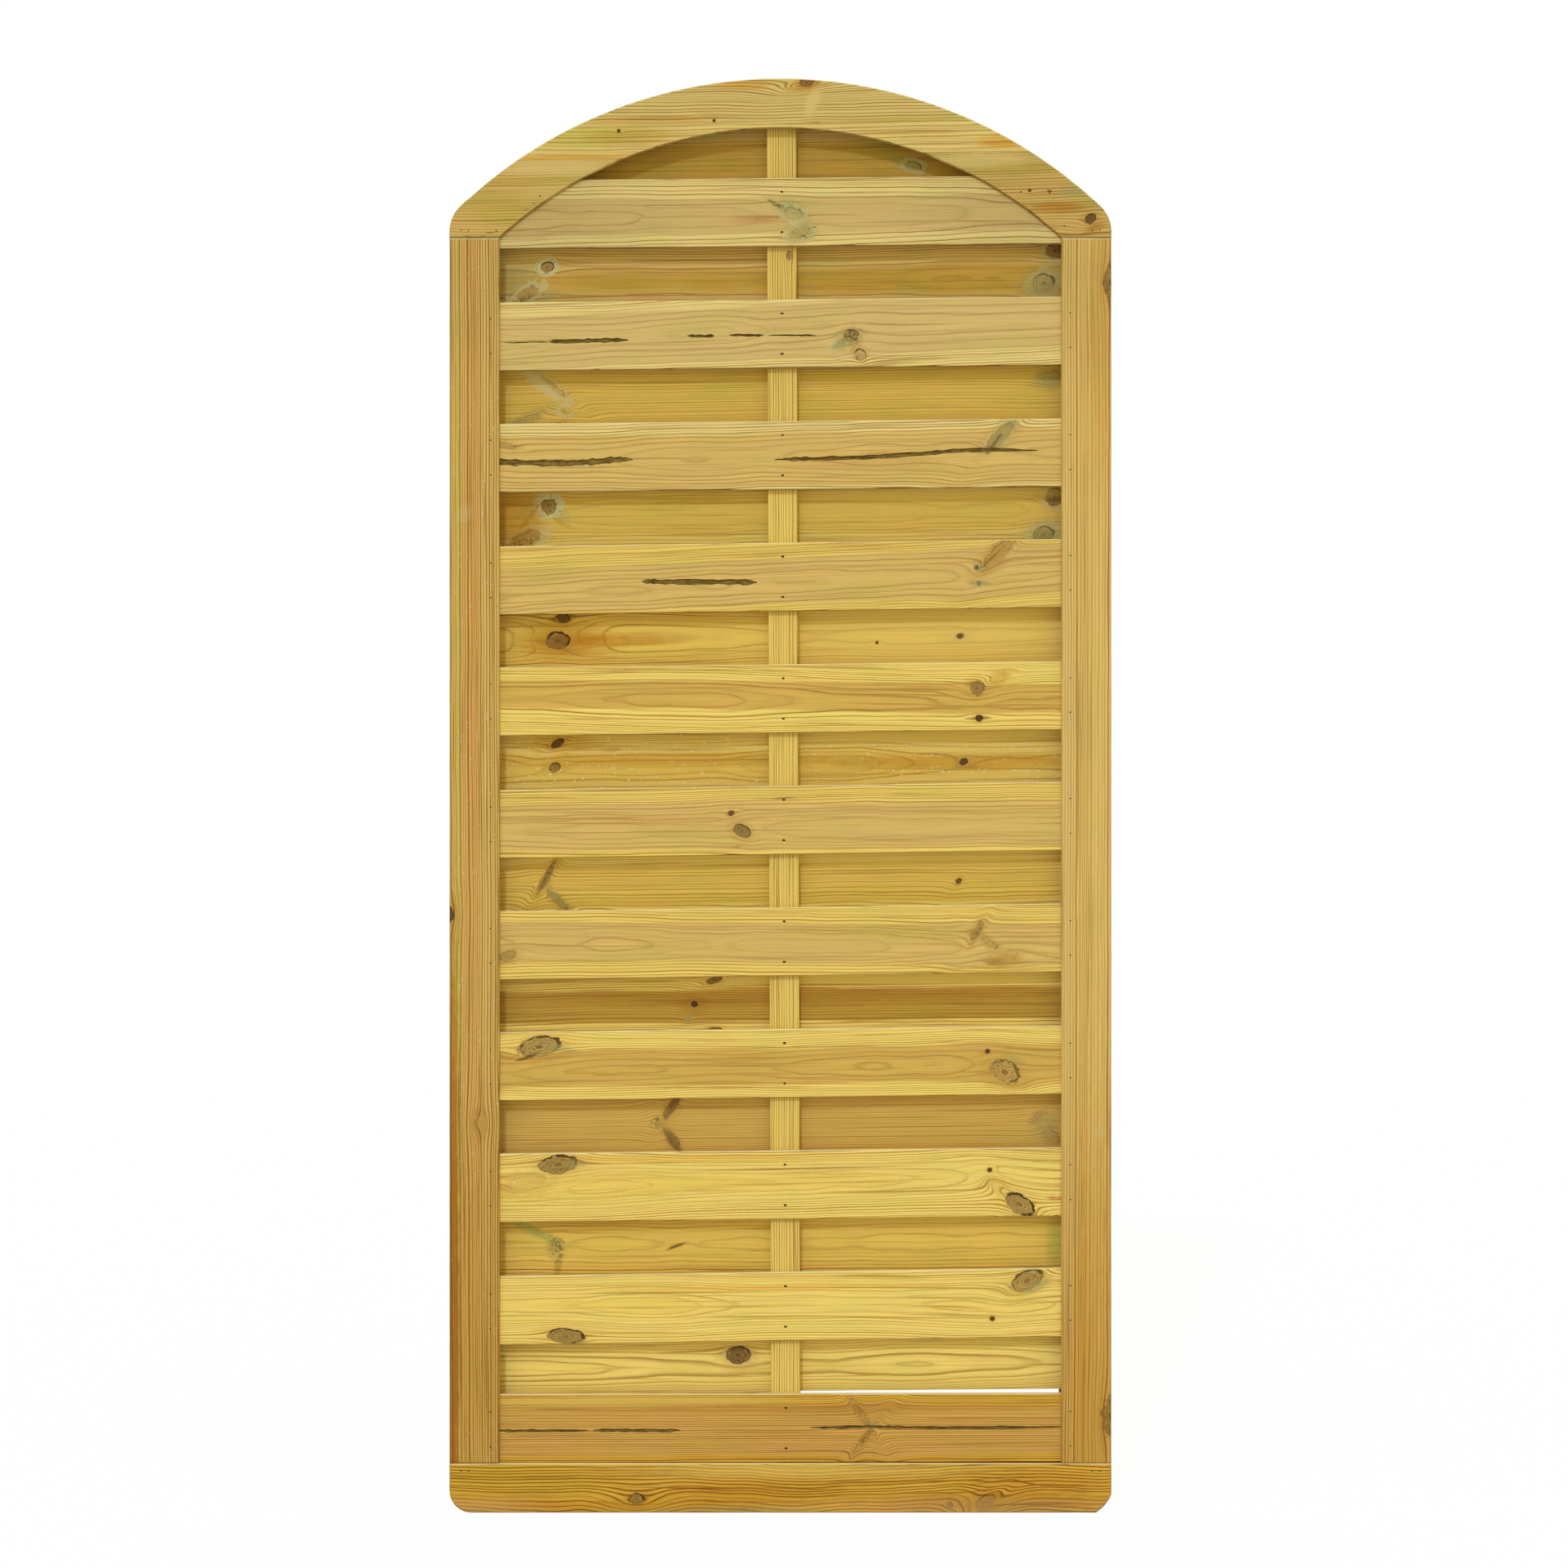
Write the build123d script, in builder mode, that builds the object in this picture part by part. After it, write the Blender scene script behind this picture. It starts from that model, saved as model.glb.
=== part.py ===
"""Arched privacy fence panel with slats set alternately on its front and rear faces.

The panel stands upright: X runs along its width, Y through its depth with the
front at negative Y, and Z is up. The origin is the middle of the foot of the
bottom rail. All sizes are in millimetres.
"""

from build123d import *
from collections import namedtuple
from math import cos, radians, sin, sqrt, tan
import os

os.makedirs("parts", exist_ok=True)

# Whole panel
panel_width = 900
panel_height = 1950
frame_depth = 44
arch_rise = 188

# Frame timber
stile_width = 68
arch_width = 68
bottom_rail_height = 67
frame_arris = 1.8
shoulder_radius = 48

# Foot corners of the bottom rail: the left one is round, the right one is sawn flatter
left_corner_radius = 30
right_corner_width = 21
right_corner_height = 25
right_corner_bulge = 2.5

# Boards that are glued edge to edge before the arch is sawn from them
crown_board_width = 62
shoulder_board_width = 43
glue_line_tilt = 1.05

# Slats
slat_width = 93
slat_thickness = 9
slat_arris = 1.2
slat_pairs = 11
top_slat_rise = 36
bottom_slat_gap = 0.5

# Slopes of the slats in degrees, right end up, from the top one down
front_slopes = (0.50, 0.60, 0.55, 0.75, 0.65, 0.85, 0.80, 0.65, 0.65, 0.85)
bottom_front_slope = 0.1
rear_slope = 0.6

# The lowest rear slat sits high, and its lower edge is hollow to the right of the batten
bottom_rear_lift = 7
hollow_depth_at_batten = 2.2
hollow_depth_at_end = 1.4

# Batten between the two layers of slats
batten_width = 40
batten_thickness = 15
batten_arris = 1
batten_offset = 4.5
batten_lean = 0.2

# Groove round the inside of the frame, and the stub tenons of the stiles
slat_engagement = 18
groove_end_clearance = 2
tenon_setback = 10
tenon_end_clearance = 1

# Square steel brads, driven just below the surface
brad_gauge = 1.2
brad_sink = 0.5
cheek_brad_length = 13
batten_brad_length = 20
joint_brad_length = 20
cheek_brad_inset = 12
cheek_brad_spacing = 47
batten_brad_spacing = 55
joint_brad_insets = (16, 26)
joint_brad_from_shoulder = 10

# Sizes that follow from the ones above
half_width = panel_width / 2
opening_width = panel_width - 2 * stile_width
groove_width = 2 * slat_thickness + batten_thickness
groove_depth = slat_engagement + groove_end_clearance
slat_face = groove_width / 2
frame_face = frame_depth / 2
slat_length = opening_width + 2 * slat_engagement
tenon_width = stile_width - groove_depth - tenon_setback
tenon_length = groove_depth - tenon_end_clearance
tenon_x = half_width - tenon_setback - tenon_width / 2

# The outer arc passes through the crown and both side tops, and the inner one shares its centre
outer_radius = (half_width**2 + arch_rise**2) / (2 * arch_rise)
inner_radius = outer_radius - arch_width
arc_centre_z = panel_height - outer_radius
side_top = panel_height - arch_rise
inner_crown = arc_centre_z + inner_radius
stile_top = arc_centre_z + sqrt(inner_radius**2 - (opening_width / 2) ** 2)
stile_length = stile_top - bottom_rail_height
stile_middle = (stile_top + bottom_rail_height) / 2
batten_middle = (inner_crown + bottom_rail_height) / 2

# The slats are spread evenly between the lowest front slat and the highest one
lowest_slat_z = bottom_rail_height + bottom_slat_gap + slat_width / 2
highest_slat_z = stile_top + top_slat_rise
slat_span = highest_slat_z - lowest_slat_z
slat_pitch = slat_span / (slat_pairs - 1)

FRONT = -1
REAR = 1
LEFT = -1
RIGHT = 1

Slat = namedtuple("Slat", "name face z slope is_hollow")


def tilted_plane(x, y, z, degrees):
    """Upright plane that faces the front, turned by some degrees so that its right side rises."""
    turn = radians(degrees)
    return Plane(origin=(x, y, z), x_dir=(cos(turn), 0, sin(turn)), z_dir=(0, -1, 0))


def slat_layout():
    """Every slat with its face, centre height and slope, from the top down."""
    layout = []
    for row in range(slat_pairs):
        is_lowest = row == slat_pairs - 1
        front_z = highest_slat_z - row * slat_pitch
        front_slope = bottom_front_slope if is_lowest else front_slopes[row % len(front_slopes)]
        rear_z = front_z + slat_pitch / 2 + (bottom_rear_lift if is_lowest else 0)
        layout.append(Slat(f"rear_slat_{row + 1:02d}", REAR, rear_z, rear_slope, is_lowest))
        layout.append(Slat(f"front_slat_{row + 1:02d}", FRONT, front_z, front_slope, False))
    return layout


def batten_x(z):
    """Place of the batten's centre line at a height."""
    return batten_offset - (z - batten_middle) * tan(radians(batten_lean))


def batten_heads(slat):
    """Heads of the two brads that hold a slat to the batten."""
    middle_z = slat.z + batten_offset * tan(radians(slat.slope))
    heights = (middle_z - batten_brad_spacing / 2, middle_z + batten_brad_spacing / 2)
    return [(batten_x(z), z) for z in heights]


def cheek_heads(slat):
    """Heads of the four brads that hold a slat's ends behind the frame's cheeks."""
    heads = []
    for z in (slat.z - cheek_brad_spacing / 2, slat.z + cheek_brad_spacing / 2):
        x = opening_width / 2 + cheek_brad_inset
        if z > stile_top:
            x = sqrt((inner_radius + cheek_brad_inset) ** 2 - (z - arc_centre_z) ** 2)
        heads += [(side * x, z + side * x * tan(radians(slat.slope))) for side in (LEFT, RIGHT)]
    return heads


def joint_heads():
    """Heads of the two brads in each corner joint of the frame."""
    heights = (stile_top + joint_brad_from_shoulder, bottom_rail_height - joint_brad_from_shoulder)
    places = [side * (half_width - inset) for side in (LEFT, RIGHT) for inset in joint_brad_insets]
    return [(x, z) for x in places for z in heights]


def brad_centres(heads, surface, face, length):
    """Centres of brads whose heads lie just below a surface."""
    return [(x, face * (surface - brad_sink - length / 2), z) for x, z in heads]


def hole_centres(heads, surface, face, length):
    """Centres of the holes of those brads, which reach the surface."""
    return [(x, face * (surface - (brad_sink + length) / 2), z) for x, z in heads]


def write_piece(piece, name):
    """Label a finished piece and write it under its own name."""
    piece.part.label = name
    export_step(piece.part, f"parts/{name}.step")


def cheek_holes(slat):
    """Centres of the holes through the frame's cheek and a slat's ends."""
    return hole_centres(cheek_heads(slat), frame_face, slat.face, cheek_brad_length)


def batten_holes(slat):
    """Centres of the holes through a slat and into the batten."""
    return hole_centres(batten_heads(slat), slat_face, slat.face, batten_brad_length)


def joint_holes():
    """Centres of the holes through the rails' front cheek and into the tenons."""
    return hole_centres(joint_heads(), frame_face, FRONT, joint_brad_length)


def drill(holes, brad_length):
    """Cut the holes of brads in the piece that is being built."""
    with Locations(*holes):
        Box(brad_gauge, brad_sink + brad_length, brad_gauge, mode=Mode.SUBTRACT)


slats = slat_layout()
all_cheek_holes = [hole for slat in slats for hole in cheek_holes(slat)]
all_batten_holes = [hole for slat in slats for hole in batten_holes(slat)]

# Arch, sawn as one blank: bevelled arrises, a groove for the slats and a mortise in each foot
with BuildPart() as arch_blank:
    with BuildSketch(Plane.XZ) as arch_outline:
        with BuildLine():
            outer_arc = ThreePointArc((-half_width, side_top), (0, panel_height), (half_width, side_top))
            right_foot = Polyline(outer_arc @ 1, (half_width, stile_top), (opening_width / 2, stile_top))
            inner_arc = ThreePointArc(right_foot @ 1, (0, inner_crown), (-opening_width / 2, stile_top))
            Polyline(inner_arc @ 1, (-half_width, stile_top), outer_arc @ 0)
        make_face()
        fillet(arch_outline.vertices().group_by(Axis.Y)[-1], radius=shoulder_radius)
    extrude(amount=frame_face, both=True)
    chamfer(arch_blank.faces().filter_by(Axis.Y).edges(), length=frame_arris)
    with BuildSketch(Plane.XZ):
        with Locations((0, arc_centre_z)):
            Circle(inner_radius + groove_depth)
    extrude(amount=groove_width / 2, both=True, mode=Mode.SUBTRACT)
    with Locations(*[(side * tenon_x, 0, stile_top + groove_depth / 2) for side in (LEFT, RIGHT)]):
        Box(tenon_width, groove_width, groove_depth, mode=Mode.SUBTRACT)
    drill([hole for hole in all_cheek_holes if hole[2] > stile_top - brad_gauge], cheek_brad_length)
    drill([hole for hole in joint_holes() if hole[2] > stile_top], joint_brad_length)

# The blank's boards: the glue lines run nearly level and rise a little to the right
tilt = radians(glue_line_tilt)
upper_glue_line = Plane(
    origin=(0, 0, panel_height - crown_board_width),
    x_dir=(cos(tilt), 0, sin(tilt)),
    z_dir=(-sin(tilt), 0, cos(tilt)),
)
lower_glue_line = upper_glue_line.offset(-shoulder_board_width)

with BuildPart() as arch_crown_board:
    add(arch_blank.part)
    split(bisect_by=upper_glue_line, keep=Keep.TOP)
write_piece(arch_crown_board, "arch_crown_board")

with BuildPart() as arch_shoulder_board:
    add(arch_blank.part)
    split(bisect_by=upper_glue_line, keep=Keep.BOTTOM)
    split(bisect_by=lower_glue_line, keep=Keep.TOP)
write_piece(arch_shoulder_board, "arch_shoulder_board")

with BuildPart() as arch_foot_boards:
    add(arch_blank.part)
    split(bisect_by=lower_glue_line, keep=Keep.BOTTOM)

with BuildPart() as arch_left_foot:
    add(arch_foot_boards.solids().sort_by(Axis.X)[0])
write_piece(arch_left_foot, "arch_left_foot")

with BuildPart() as arch_right_foot:
    add(arch_foot_boards.solids().sort_by(Axis.X)[-1])
write_piece(arch_right_foot, "arch_right_foot")

# Stiles, grooved along their inner edge, with a stub tenon at each end
for stile_name, side in (("left_stile", LEFT), ("right_stile", RIGHT)):
    own_cheek_holes = [hole for hole in all_cheek_holes if side * hole[0] > 0]
    own_joint_holes = [hole for hole in joint_holes() if side * hole[0] > 0]
    with BuildPart() as stile:
        with BuildSketch(Plane.XZ):
            with Locations((side * (panel_width - stile_width) / 2, stile_middle)):
                Rectangle(stile_width, stile_length)
        extrude(amount=frame_face, both=True)
        chamfer(stile.faces().filter_by(Axis.Y).edges(), length=frame_arris)
        with Locations((side * (opening_width + groove_depth) / 2, 0, stile_middle)):
            Box(groove_depth, groove_width, stile_length, mode=Mode.SUBTRACT)
        with Locations((side * tenon_x, 0, stile_middle)):
            Box(tenon_width, groove_width, stile_length + 2 * tenon_length)
        drill([hole for hole in own_cheek_holes if hole[2] < stile_top + brad_gauge], cheek_brad_length)
        drill(own_joint_holes, joint_brad_length)
    write_piece(stile, stile_name)

# Bottom rail, grooved along its top edge short of both ends
with BuildPart() as bottom_rail:
    with BuildSketch(Plane.XZ):
        with BuildLine():
            Polyline(
                (-half_width, left_corner_radius),
                (-half_width, bottom_rail_height),
                (half_width, bottom_rail_height),
                (half_width, right_corner_height),
            )
            SagittaArc(
                (half_width, right_corner_height),
                (half_width - right_corner_width, 0),
                right_corner_bulge,
            )
            Line((half_width - right_corner_width, 0), (left_corner_radius - half_width, 0))
            RadiusArc(
                (left_corner_radius - half_width, 0),
                (-half_width, left_corner_radius),
                left_corner_radius,
            )
        make_face()
    extrude(amount=frame_face, both=True)
    chamfer(bottom_rail.faces().filter_by(Axis.Y).edges(), length=frame_arris)
    with Locations((0, 0, bottom_rail_height - groove_depth / 2)):
        Box(panel_width - 2 * tenon_setback, groove_width, groove_depth, mode=Mode.SUBTRACT)
    drill([hole for hole in joint_holes() if hole[2] < bottom_rail_height], joint_brad_length)
write_piece(bottom_rail, "bottom_rail")

# Centre batten, which leans a little and ends in the grooves of the arch and the bottom rail
with BuildPart() as centre_batten:
    with BuildSketch(tilted_plane(batten_offset, 0, batten_middle, batten_lean)):
        Rectangle(batten_width, inner_crown - bottom_rail_height + 2 * slat_engagement)
    extrude(amount=batten_thickness / 2, both=True)
    fillet(centre_batten.edges().group_by(SortBy.LENGTH)[-1], radius=batten_arris)
    drill(all_batten_holes, batten_brad_length)
write_piece(centre_batten, "centre_batten")

# Slats: those that reach into the arch are sawn round to fit its groove
for slat in slats:
    slat_plane = tilted_plane(0, slat.face * batten_thickness / 2, slat.z, slat.slope)
    with BuildPart() as board:
        with BuildSketch(slat_plane):
            Rectangle(slat_length, slat_width)
        extrude(amount=-slat.face * slat_thickness)
        fillet(board.edges().group_by(SortBy.LENGTH)[-1], radius=slat_arris)
        if slat.z + slat_width > stile_top:
            with BuildSketch(Plane.XZ):
                with Locations((0, arc_centre_z)):
                    Circle(inner_radius + slat_engagement)
            extrude(amount=frame_face, both=True, mode=Mode.INTERSECT)
        if slat.is_hollow:
            lower_edge = -slat_width / 2
            with BuildSketch(slat_plane):
                with BuildLine():
                    Polyline(
                        (batten_offset, lower_edge),
                        (batten_offset + batten_width / 2, lower_edge + hollow_depth_at_batten),
                        (slat_length / 2, lower_edge + hollow_depth_at_end),
                        (slat_length / 2, lower_edge),
                        close=True,
                    )
                make_face()
            extrude(amount=-slat.face * slat_thickness, mode=Mode.SUBTRACT)
        drill(cheek_holes(slat), cheek_brad_length)
        drill(batten_holes(slat), batten_brad_length)
    write_piece(board, slat.name)

# Brads, in groups by the face that they are driven into and what they hold
for face_name, face in (("front", FRONT), ("rear", REAR)):
    face_slats = [slat for slat in slats if slat.face == face]

    heads = [head for slat in face_slats for head in batten_heads(slat)]
    with BuildPart() as batten_brads:
        with Locations(*brad_centres(heads, slat_face, face, batten_brad_length)):
            Box(brad_gauge, batten_brad_length, brad_gauge)
    write_piece(batten_brads, f"{face_name}_batten_brads")

    heads = [head for slat in face_slats for head in cheek_heads(slat)]
    with BuildPart() as cheek_brads:
        with Locations(*brad_centres(heads, frame_face, face, cheek_brad_length)):
            Box(brad_gauge, cheek_brad_length, brad_gauge)
    write_piece(cheek_brads, f"{face_name}_cheek_brads")

with BuildPart() as joint_brads:
    with Locations(*brad_centres(joint_heads(), frame_face, FRONT, joint_brad_length)):
        Box(brad_gauge, joint_brad_length, brad_gauge)
write_piece(joint_brads, "joint_brads")
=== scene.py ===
"""Looks of an arched privacy fence panel: green-treated softwood slats in a routed frame.

Every timber is grown from its own pith: growth rings, heartwood and knots are placed
board by board, so each one reads as a different piece of the tree.
"""

import math
from functools import partial
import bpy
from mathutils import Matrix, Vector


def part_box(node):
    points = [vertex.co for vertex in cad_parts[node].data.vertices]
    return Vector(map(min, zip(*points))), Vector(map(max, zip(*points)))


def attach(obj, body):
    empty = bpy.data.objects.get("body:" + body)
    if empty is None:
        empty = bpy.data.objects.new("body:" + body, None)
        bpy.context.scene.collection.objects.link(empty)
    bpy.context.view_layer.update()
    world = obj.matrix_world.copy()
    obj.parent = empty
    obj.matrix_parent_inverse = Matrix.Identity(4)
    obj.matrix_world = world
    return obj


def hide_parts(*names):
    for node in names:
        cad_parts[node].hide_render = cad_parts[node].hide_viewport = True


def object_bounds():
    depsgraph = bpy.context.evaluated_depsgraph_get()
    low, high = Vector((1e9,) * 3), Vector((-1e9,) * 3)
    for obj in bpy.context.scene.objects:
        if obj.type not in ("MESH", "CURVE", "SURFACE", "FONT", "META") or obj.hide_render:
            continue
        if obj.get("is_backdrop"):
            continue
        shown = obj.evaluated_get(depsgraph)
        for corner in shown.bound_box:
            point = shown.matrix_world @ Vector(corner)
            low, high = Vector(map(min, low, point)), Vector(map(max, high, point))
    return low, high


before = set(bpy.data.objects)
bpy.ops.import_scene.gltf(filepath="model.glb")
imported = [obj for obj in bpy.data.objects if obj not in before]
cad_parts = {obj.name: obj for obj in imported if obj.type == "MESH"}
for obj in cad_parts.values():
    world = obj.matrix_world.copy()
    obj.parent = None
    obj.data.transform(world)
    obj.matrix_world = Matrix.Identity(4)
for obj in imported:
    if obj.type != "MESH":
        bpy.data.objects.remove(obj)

from types import SimpleNamespace

import bmesh
import bpy
from bpy.props import FloatProperty, FloatVectorProperty, PointerProperty
from mathutils import Matrix, Vector, noise

CAD_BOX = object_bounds()

bl_info = {
    "name": "Arched Privacy Fence Panel",
    "version": (1, 0, 0),
    "blender": (4, 5, 0),
    "location": "View3D > Sidebar > Fence",
    "description": "Dresses an arched slatted fence panel in treated softwood",
    "category": "Object",
}

MM = 0.001


# Colours and sizes that a user would change


def colour(name, description, default):
    """A colour that is picked as it looks on the screen."""
    return FloatVectorProperty(
        name=name, description=description, default=default, size=3, min=0, max=1, subtype="COLOR_GAMMA"
    )


def length(name, description, default):
    """A length in millimetres, kept in metres."""
    return FloatProperty(name=name, description=description, default=default * MM, unit="LENGTH")


class FenceColours(bpy.types.PropertyGroup):
    """Colours of the timber, its knots and its brads."""

    pale: colour("Pale sapwood", "Sapwood that took up little treatment", (0.860, 0.760, 0.450))
    butter: colour("Butter sapwood", "Sapwood of the brightest slats", (0.895, 0.775, 0.385))
    golden: colour("Golden sapwood", "Yellow sapwood of most slats", (0.865, 0.740, 0.360))
    olive: colour("Olive sapwood", "Sapwood that the treatment turned green", (0.795, 0.690, 0.380))
    khaki: colour("Khaki sapwood", "Sapwood of the frame", (0.780, 0.640, 0.330))
    tan: colour("Tan heartwood", "Heartwood of the top slats", (0.795, 0.675, 0.390))
    sand: colour("Sand heartwood", "Heartwood of the middle slats", (0.795, 0.662, 0.350))
    brown_heart: colour("Brown heartwood", "Heartwood of the darker slats", (0.785, 0.630, 0.290))
    rose: colour("Rose heartwood", "Heartwood with a reddish cast", (0.780, 0.600, 0.275))
    straw: colour("Straw heartwood", "Heartwood that is hardly darker than sapwood", (0.885, 0.750, 0.345))
    honey: colour("Honey wood", "Wood of the rear slats", (0.825, 0.680, 0.290))
    umber: colour("Umber heartwood", "Darkest heartwood of the rear slats", (0.700, 0.545, 0.200))
    ochre: colour("Ochre wood", "Wood of the bottom rail", (0.795, 0.615, 0.200))
    latewood: colour("Latewood", "Tint of the dark line that closes each growth ring", (0.660, 0.560, 0.420))
    knot_shade: colour("Knot shade", "Tint of the wood that crowds round a knot", (0.900, 0.840, 0.740))
    knot: colour("Knot wood", "End grain of a sound knot", (0.700, 0.560, 0.270))
    knot_dark: colour("Dark knot wood", "End grain of a dead knot", (0.330, 0.205, 0.050))
    knot_rim: colour("Knot rim", "Bark line and gap round a knot", (0.255, 0.175, 0.045))
    bleached: colour("Bleached wood", "Pale wood round a knot", (0.770, 0.715, 0.460))
    green: colour("Green tint", "Tint where copper treatment gathered", (0.860, 0.960, 0.840))
    moss: colour("Moss green", "Copper green that dried on the face", (0.560, 0.570, 0.330))
    orange: colour("Orange tint", "Tint of resinous grain", (1.000, 0.890, 0.720))
    brown: colour("Brown tint", "Tint of darker grain", (0.900, 0.810, 0.610))
    pink: colour("Pink tint", "Tint of reddish grain", (0.975, 0.905, 0.900))
    # On the top front slat the grey tint is painted shade at both ends.
    grey: colour("Grey tint", "Tint where the timber is dulled", (0.920, 0.920, 0.930))
    olive_tint: colour("Olive tint", "Tint of greenish grain", (0.930, 0.960, 0.820))
    dirt: colour("Dirt", "Dark wood in tears and knots", (0.290, 0.205, 0.055))
    resin: colour("Resin", "Hardened resin", (0.700, 0.330, 0.050))
    split: colour("Split", "Wood down in a drying split", (0.500, 0.400, 0.170))
    pit: colour("Brad pit", "Crushed wood round a brad's head", (0.300, 0.220, 0.100))
    steel: colour("Brad steel", "Dulled steel of the brads", (0.300, 0.270, 0.220))


class FenceSizes(bpy.types.PropertyGroup):
    """Sizes of the wear and of the small marks in the timber."""

    slice_length: length("Slice length", "Distance between the places where an arris can wear", 12)
    arris_wear: length("Arris wear", "Most that an arris is worn back", 0.35)
    pit_width: length("Brad pit width", "Width of the torn wood round a brad's head", 3.6)
    frame_pit_width: length("Frame brad pit width", "The same at the frame's finer brads", 2.2)
    pit_depth: length("Brad pit depth", "Depth of the pit over a brad's head", 0.9)
    relief: length("Grain relief", "Height of the grain on a planed face", 0.35)


class FenceStage(bpy.types.PropertyGroup):
    """Camera, lamp and surroundings."""

    camera_distance: length("Camera distance", "From the camera to the panel's front", 4000)
    camera_height: length("Camera height", "Height of the lens above the ground", 990.7)
    camera_side: length("Camera side step", "The lens's place right of the middle", 4.9)
    picture_width: length("Picture width", "Width that the picture takes in at the panel's front", 2131)
    sun_strength: FloatProperty(name="Lamp", description="Strength of the lamp above the camera", default=1.654)
    sky_strength: FloatProperty(name="Sky", description="Strength of the light from all round", default=0.80)
    sun_colour: colour("Lamp colour", "Cool light of the lamp", (0.722, 0.780, 1.0))
    sky_colour: colour("Sky colour", "Warm light that the shadows get", (1.0, 0.98, 0.87))
    floor_tone: colour("Floor", "Colour of the ground", (0.93, 0.93, 0.93))


def as_light(shade):
    """A colour as it is on the screen, turned into the amounts of light that a shader takes."""
    return [c / 12.92 if c <= 0.04045 else ((c + 0.055) / 1.055) ** 2.4 for c in shade]


# Node trees, written as sums


def step_of(operation, turned=False):
    """A method that joins a value and another number by one step of arithmetic."""

    def step(self, other):
        return self.net.math(operation, *((other, self) if turned else (self, other)))

    return step


class Value:
    """An output of a node, with which sums are written as they are with a number."""

    def __init__(self, net, socket):
        self.net = net
        self.socket = socket

    __add__, __radd__ = step_of("ADD"), step_of("ADD", turned=True)
    __sub__, __rsub__ = step_of("SUBTRACT"), step_of("SUBTRACT", turned=True)
    __mul__, __rmul__ = step_of("MULTIPLY"), step_of("MULTIPLY", turned=True)
    __truediv__, __rtruediv__ = step_of("DIVIDE"), step_of("DIVIDE", turned=True)
    most = step_of("MAXIMUM")

    def __abs__(self):
        return self.math("ABSOLUTE")

    def math(self, operation, *others):
        """One step of arithmetic that has no sign of its own."""
        return self.net.math(operation, self, *others)

    def ramp(self, start, end, low=0.0, high=1.0):
        """A smooth step from low at start to high at end."""
        return self.net.value(
            "ShaderNodeMapRange", {"interpolation_type": "SMOOTHSTEP"},
            Value=self, From_Min=start, From_Max=end, To_Min=low, To_Max=high,
        )


class Net:
    """Writes a shader's node tree."""

    def __init__(self, tree):
        self.tree = tree

    def node(self, kind, settings=None, **inputs):
        """Add a node, with its settings, and values or links for its inputs by name."""
        made = self.tree.nodes.new(kind)
        for name, value in (settings or {}).items():
            setattr(made, name, value)
        for name, value in inputs.items():
            self.feed(made.inputs[name.replace("_", " ")], value)
        return made

    def value(self, kind, settings=None, output=0, **inputs):
        """Add a node, and take one of its outputs as a value."""
        return Value(self, self.node(kind, settings, **inputs).outputs[output])

    def group(self, name, build, **inputs):
        """Add a node group, which is built the first time that it is asked for."""
        tree = bpy.data.node_groups.get(name) or build(name)
        return self.node("ShaderNodeGroup", {"node_tree": tree}, **inputs)

    def feed(self, socket, value):
        """Link an output to a socket, or set the socket's value."""
        value = value.socket if isinstance(value, Value) else value
        if isinstance(value, bpy.types.NodeSocket):
            self.tree.links.new(value, socket)
        elif socket.type == "RGBA":
            socket.default_value = [*value[:3], 1]
        else:
            socket.default_value = value

    def math(self, operation, *values):
        """One step of arithmetic."""
        made = self.node("ShaderNodeMath", {"operation": operation})
        for socket, value in zip(made.inputs, values):
            self.feed(socket, value)
        return Value(self, made.outputs[0])

    def blend(self, factor, a, b, how="MIX"):
        """Mix two colours."""
        made = self.node("ShaderNodeMix", {"data_type": "RGBA", "blend_type": how}, Factor=factor)
        self.feed(made.inputs[6], a)
        self.feed(made.inputs[7], b)
        return Value(self, made.outputs[2])

    def split(self, vector):
        """The three parts of a vector."""
        return [Value(self, part) for part in self.node("ShaderNodeSeparateXYZ", Vector=vector).outputs]

    def join(self, x, y, z):
        """A vector from its three parts."""
        return self.value("ShaderNodeCombineXYZ", X=x, Y=y, Z=z)

    def cloud(self, vector, scale=1.0, detail=1.0, roughness=0.5):
        """Soft noise from 0 to 1."""
        return self.value("ShaderNodeTexNoise", Vector=vector, Scale=scale, Detail=detail, Roughness=roughness)

    def stretched(self, place, scales, seed):
        """A place for noise: drawn together by a scale along each axis, and moved along the grain by a seed."""
        along, behind, across = (part * scale for part, scale in zip(place, scales))
        return self.join(along + seed, behind, across)

    def oval(self, given):
        """Where a point lies from a mark: its height over the middle, and shares of the mark's half sizes."""
        along, _, across = self.split(given.position)
        dx, dz = along - given.along, across - given.across
        cosine, sine = given.turn.math("COSINE"), given.turn.math("SINE")
        u = (dx * cosine + dz * sine) / given.half_length
        v = (dz * cosine - dx * sine) / given.half_width
        return along, across, dz, u, v


def new_group(name, inputs, outputs):
    """Start a node group. Each input and output has a default number, or a kind where it isn't a number."""
    tree = bpy.data.node_groups.new(name, "ShaderNodeTree")
    for direction, sockets in (("INPUT", inputs), ("OUTPUT", outputs)):
        for key, default in sockets.items():
            kind = default if isinstance(default, str) else "Float"
            made = tree.interface.new_socket(
                key.replace("_", " "), in_out=direction, socket_type=f"NodeSocket{kind}"
            )
            if kind == "Float":
                made.default_value = default
    net = Net(tree)
    sockets = [socket for socket in net.node("NodeGroupInput").outputs if socket.name]
    given = {socket.name.lower().replace(" ", "_"): Value(net, socket) for socket in sockets}
    return net, SimpleNamespace(**given)


CHAIN = ("Shift", "Hill", "Core", "Dark", "Rim", "Halo", "Rings", "Pale")
RING_LOOKS = ("Late", "Tone", "Fibre", "Streak", "Mottle")


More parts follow.
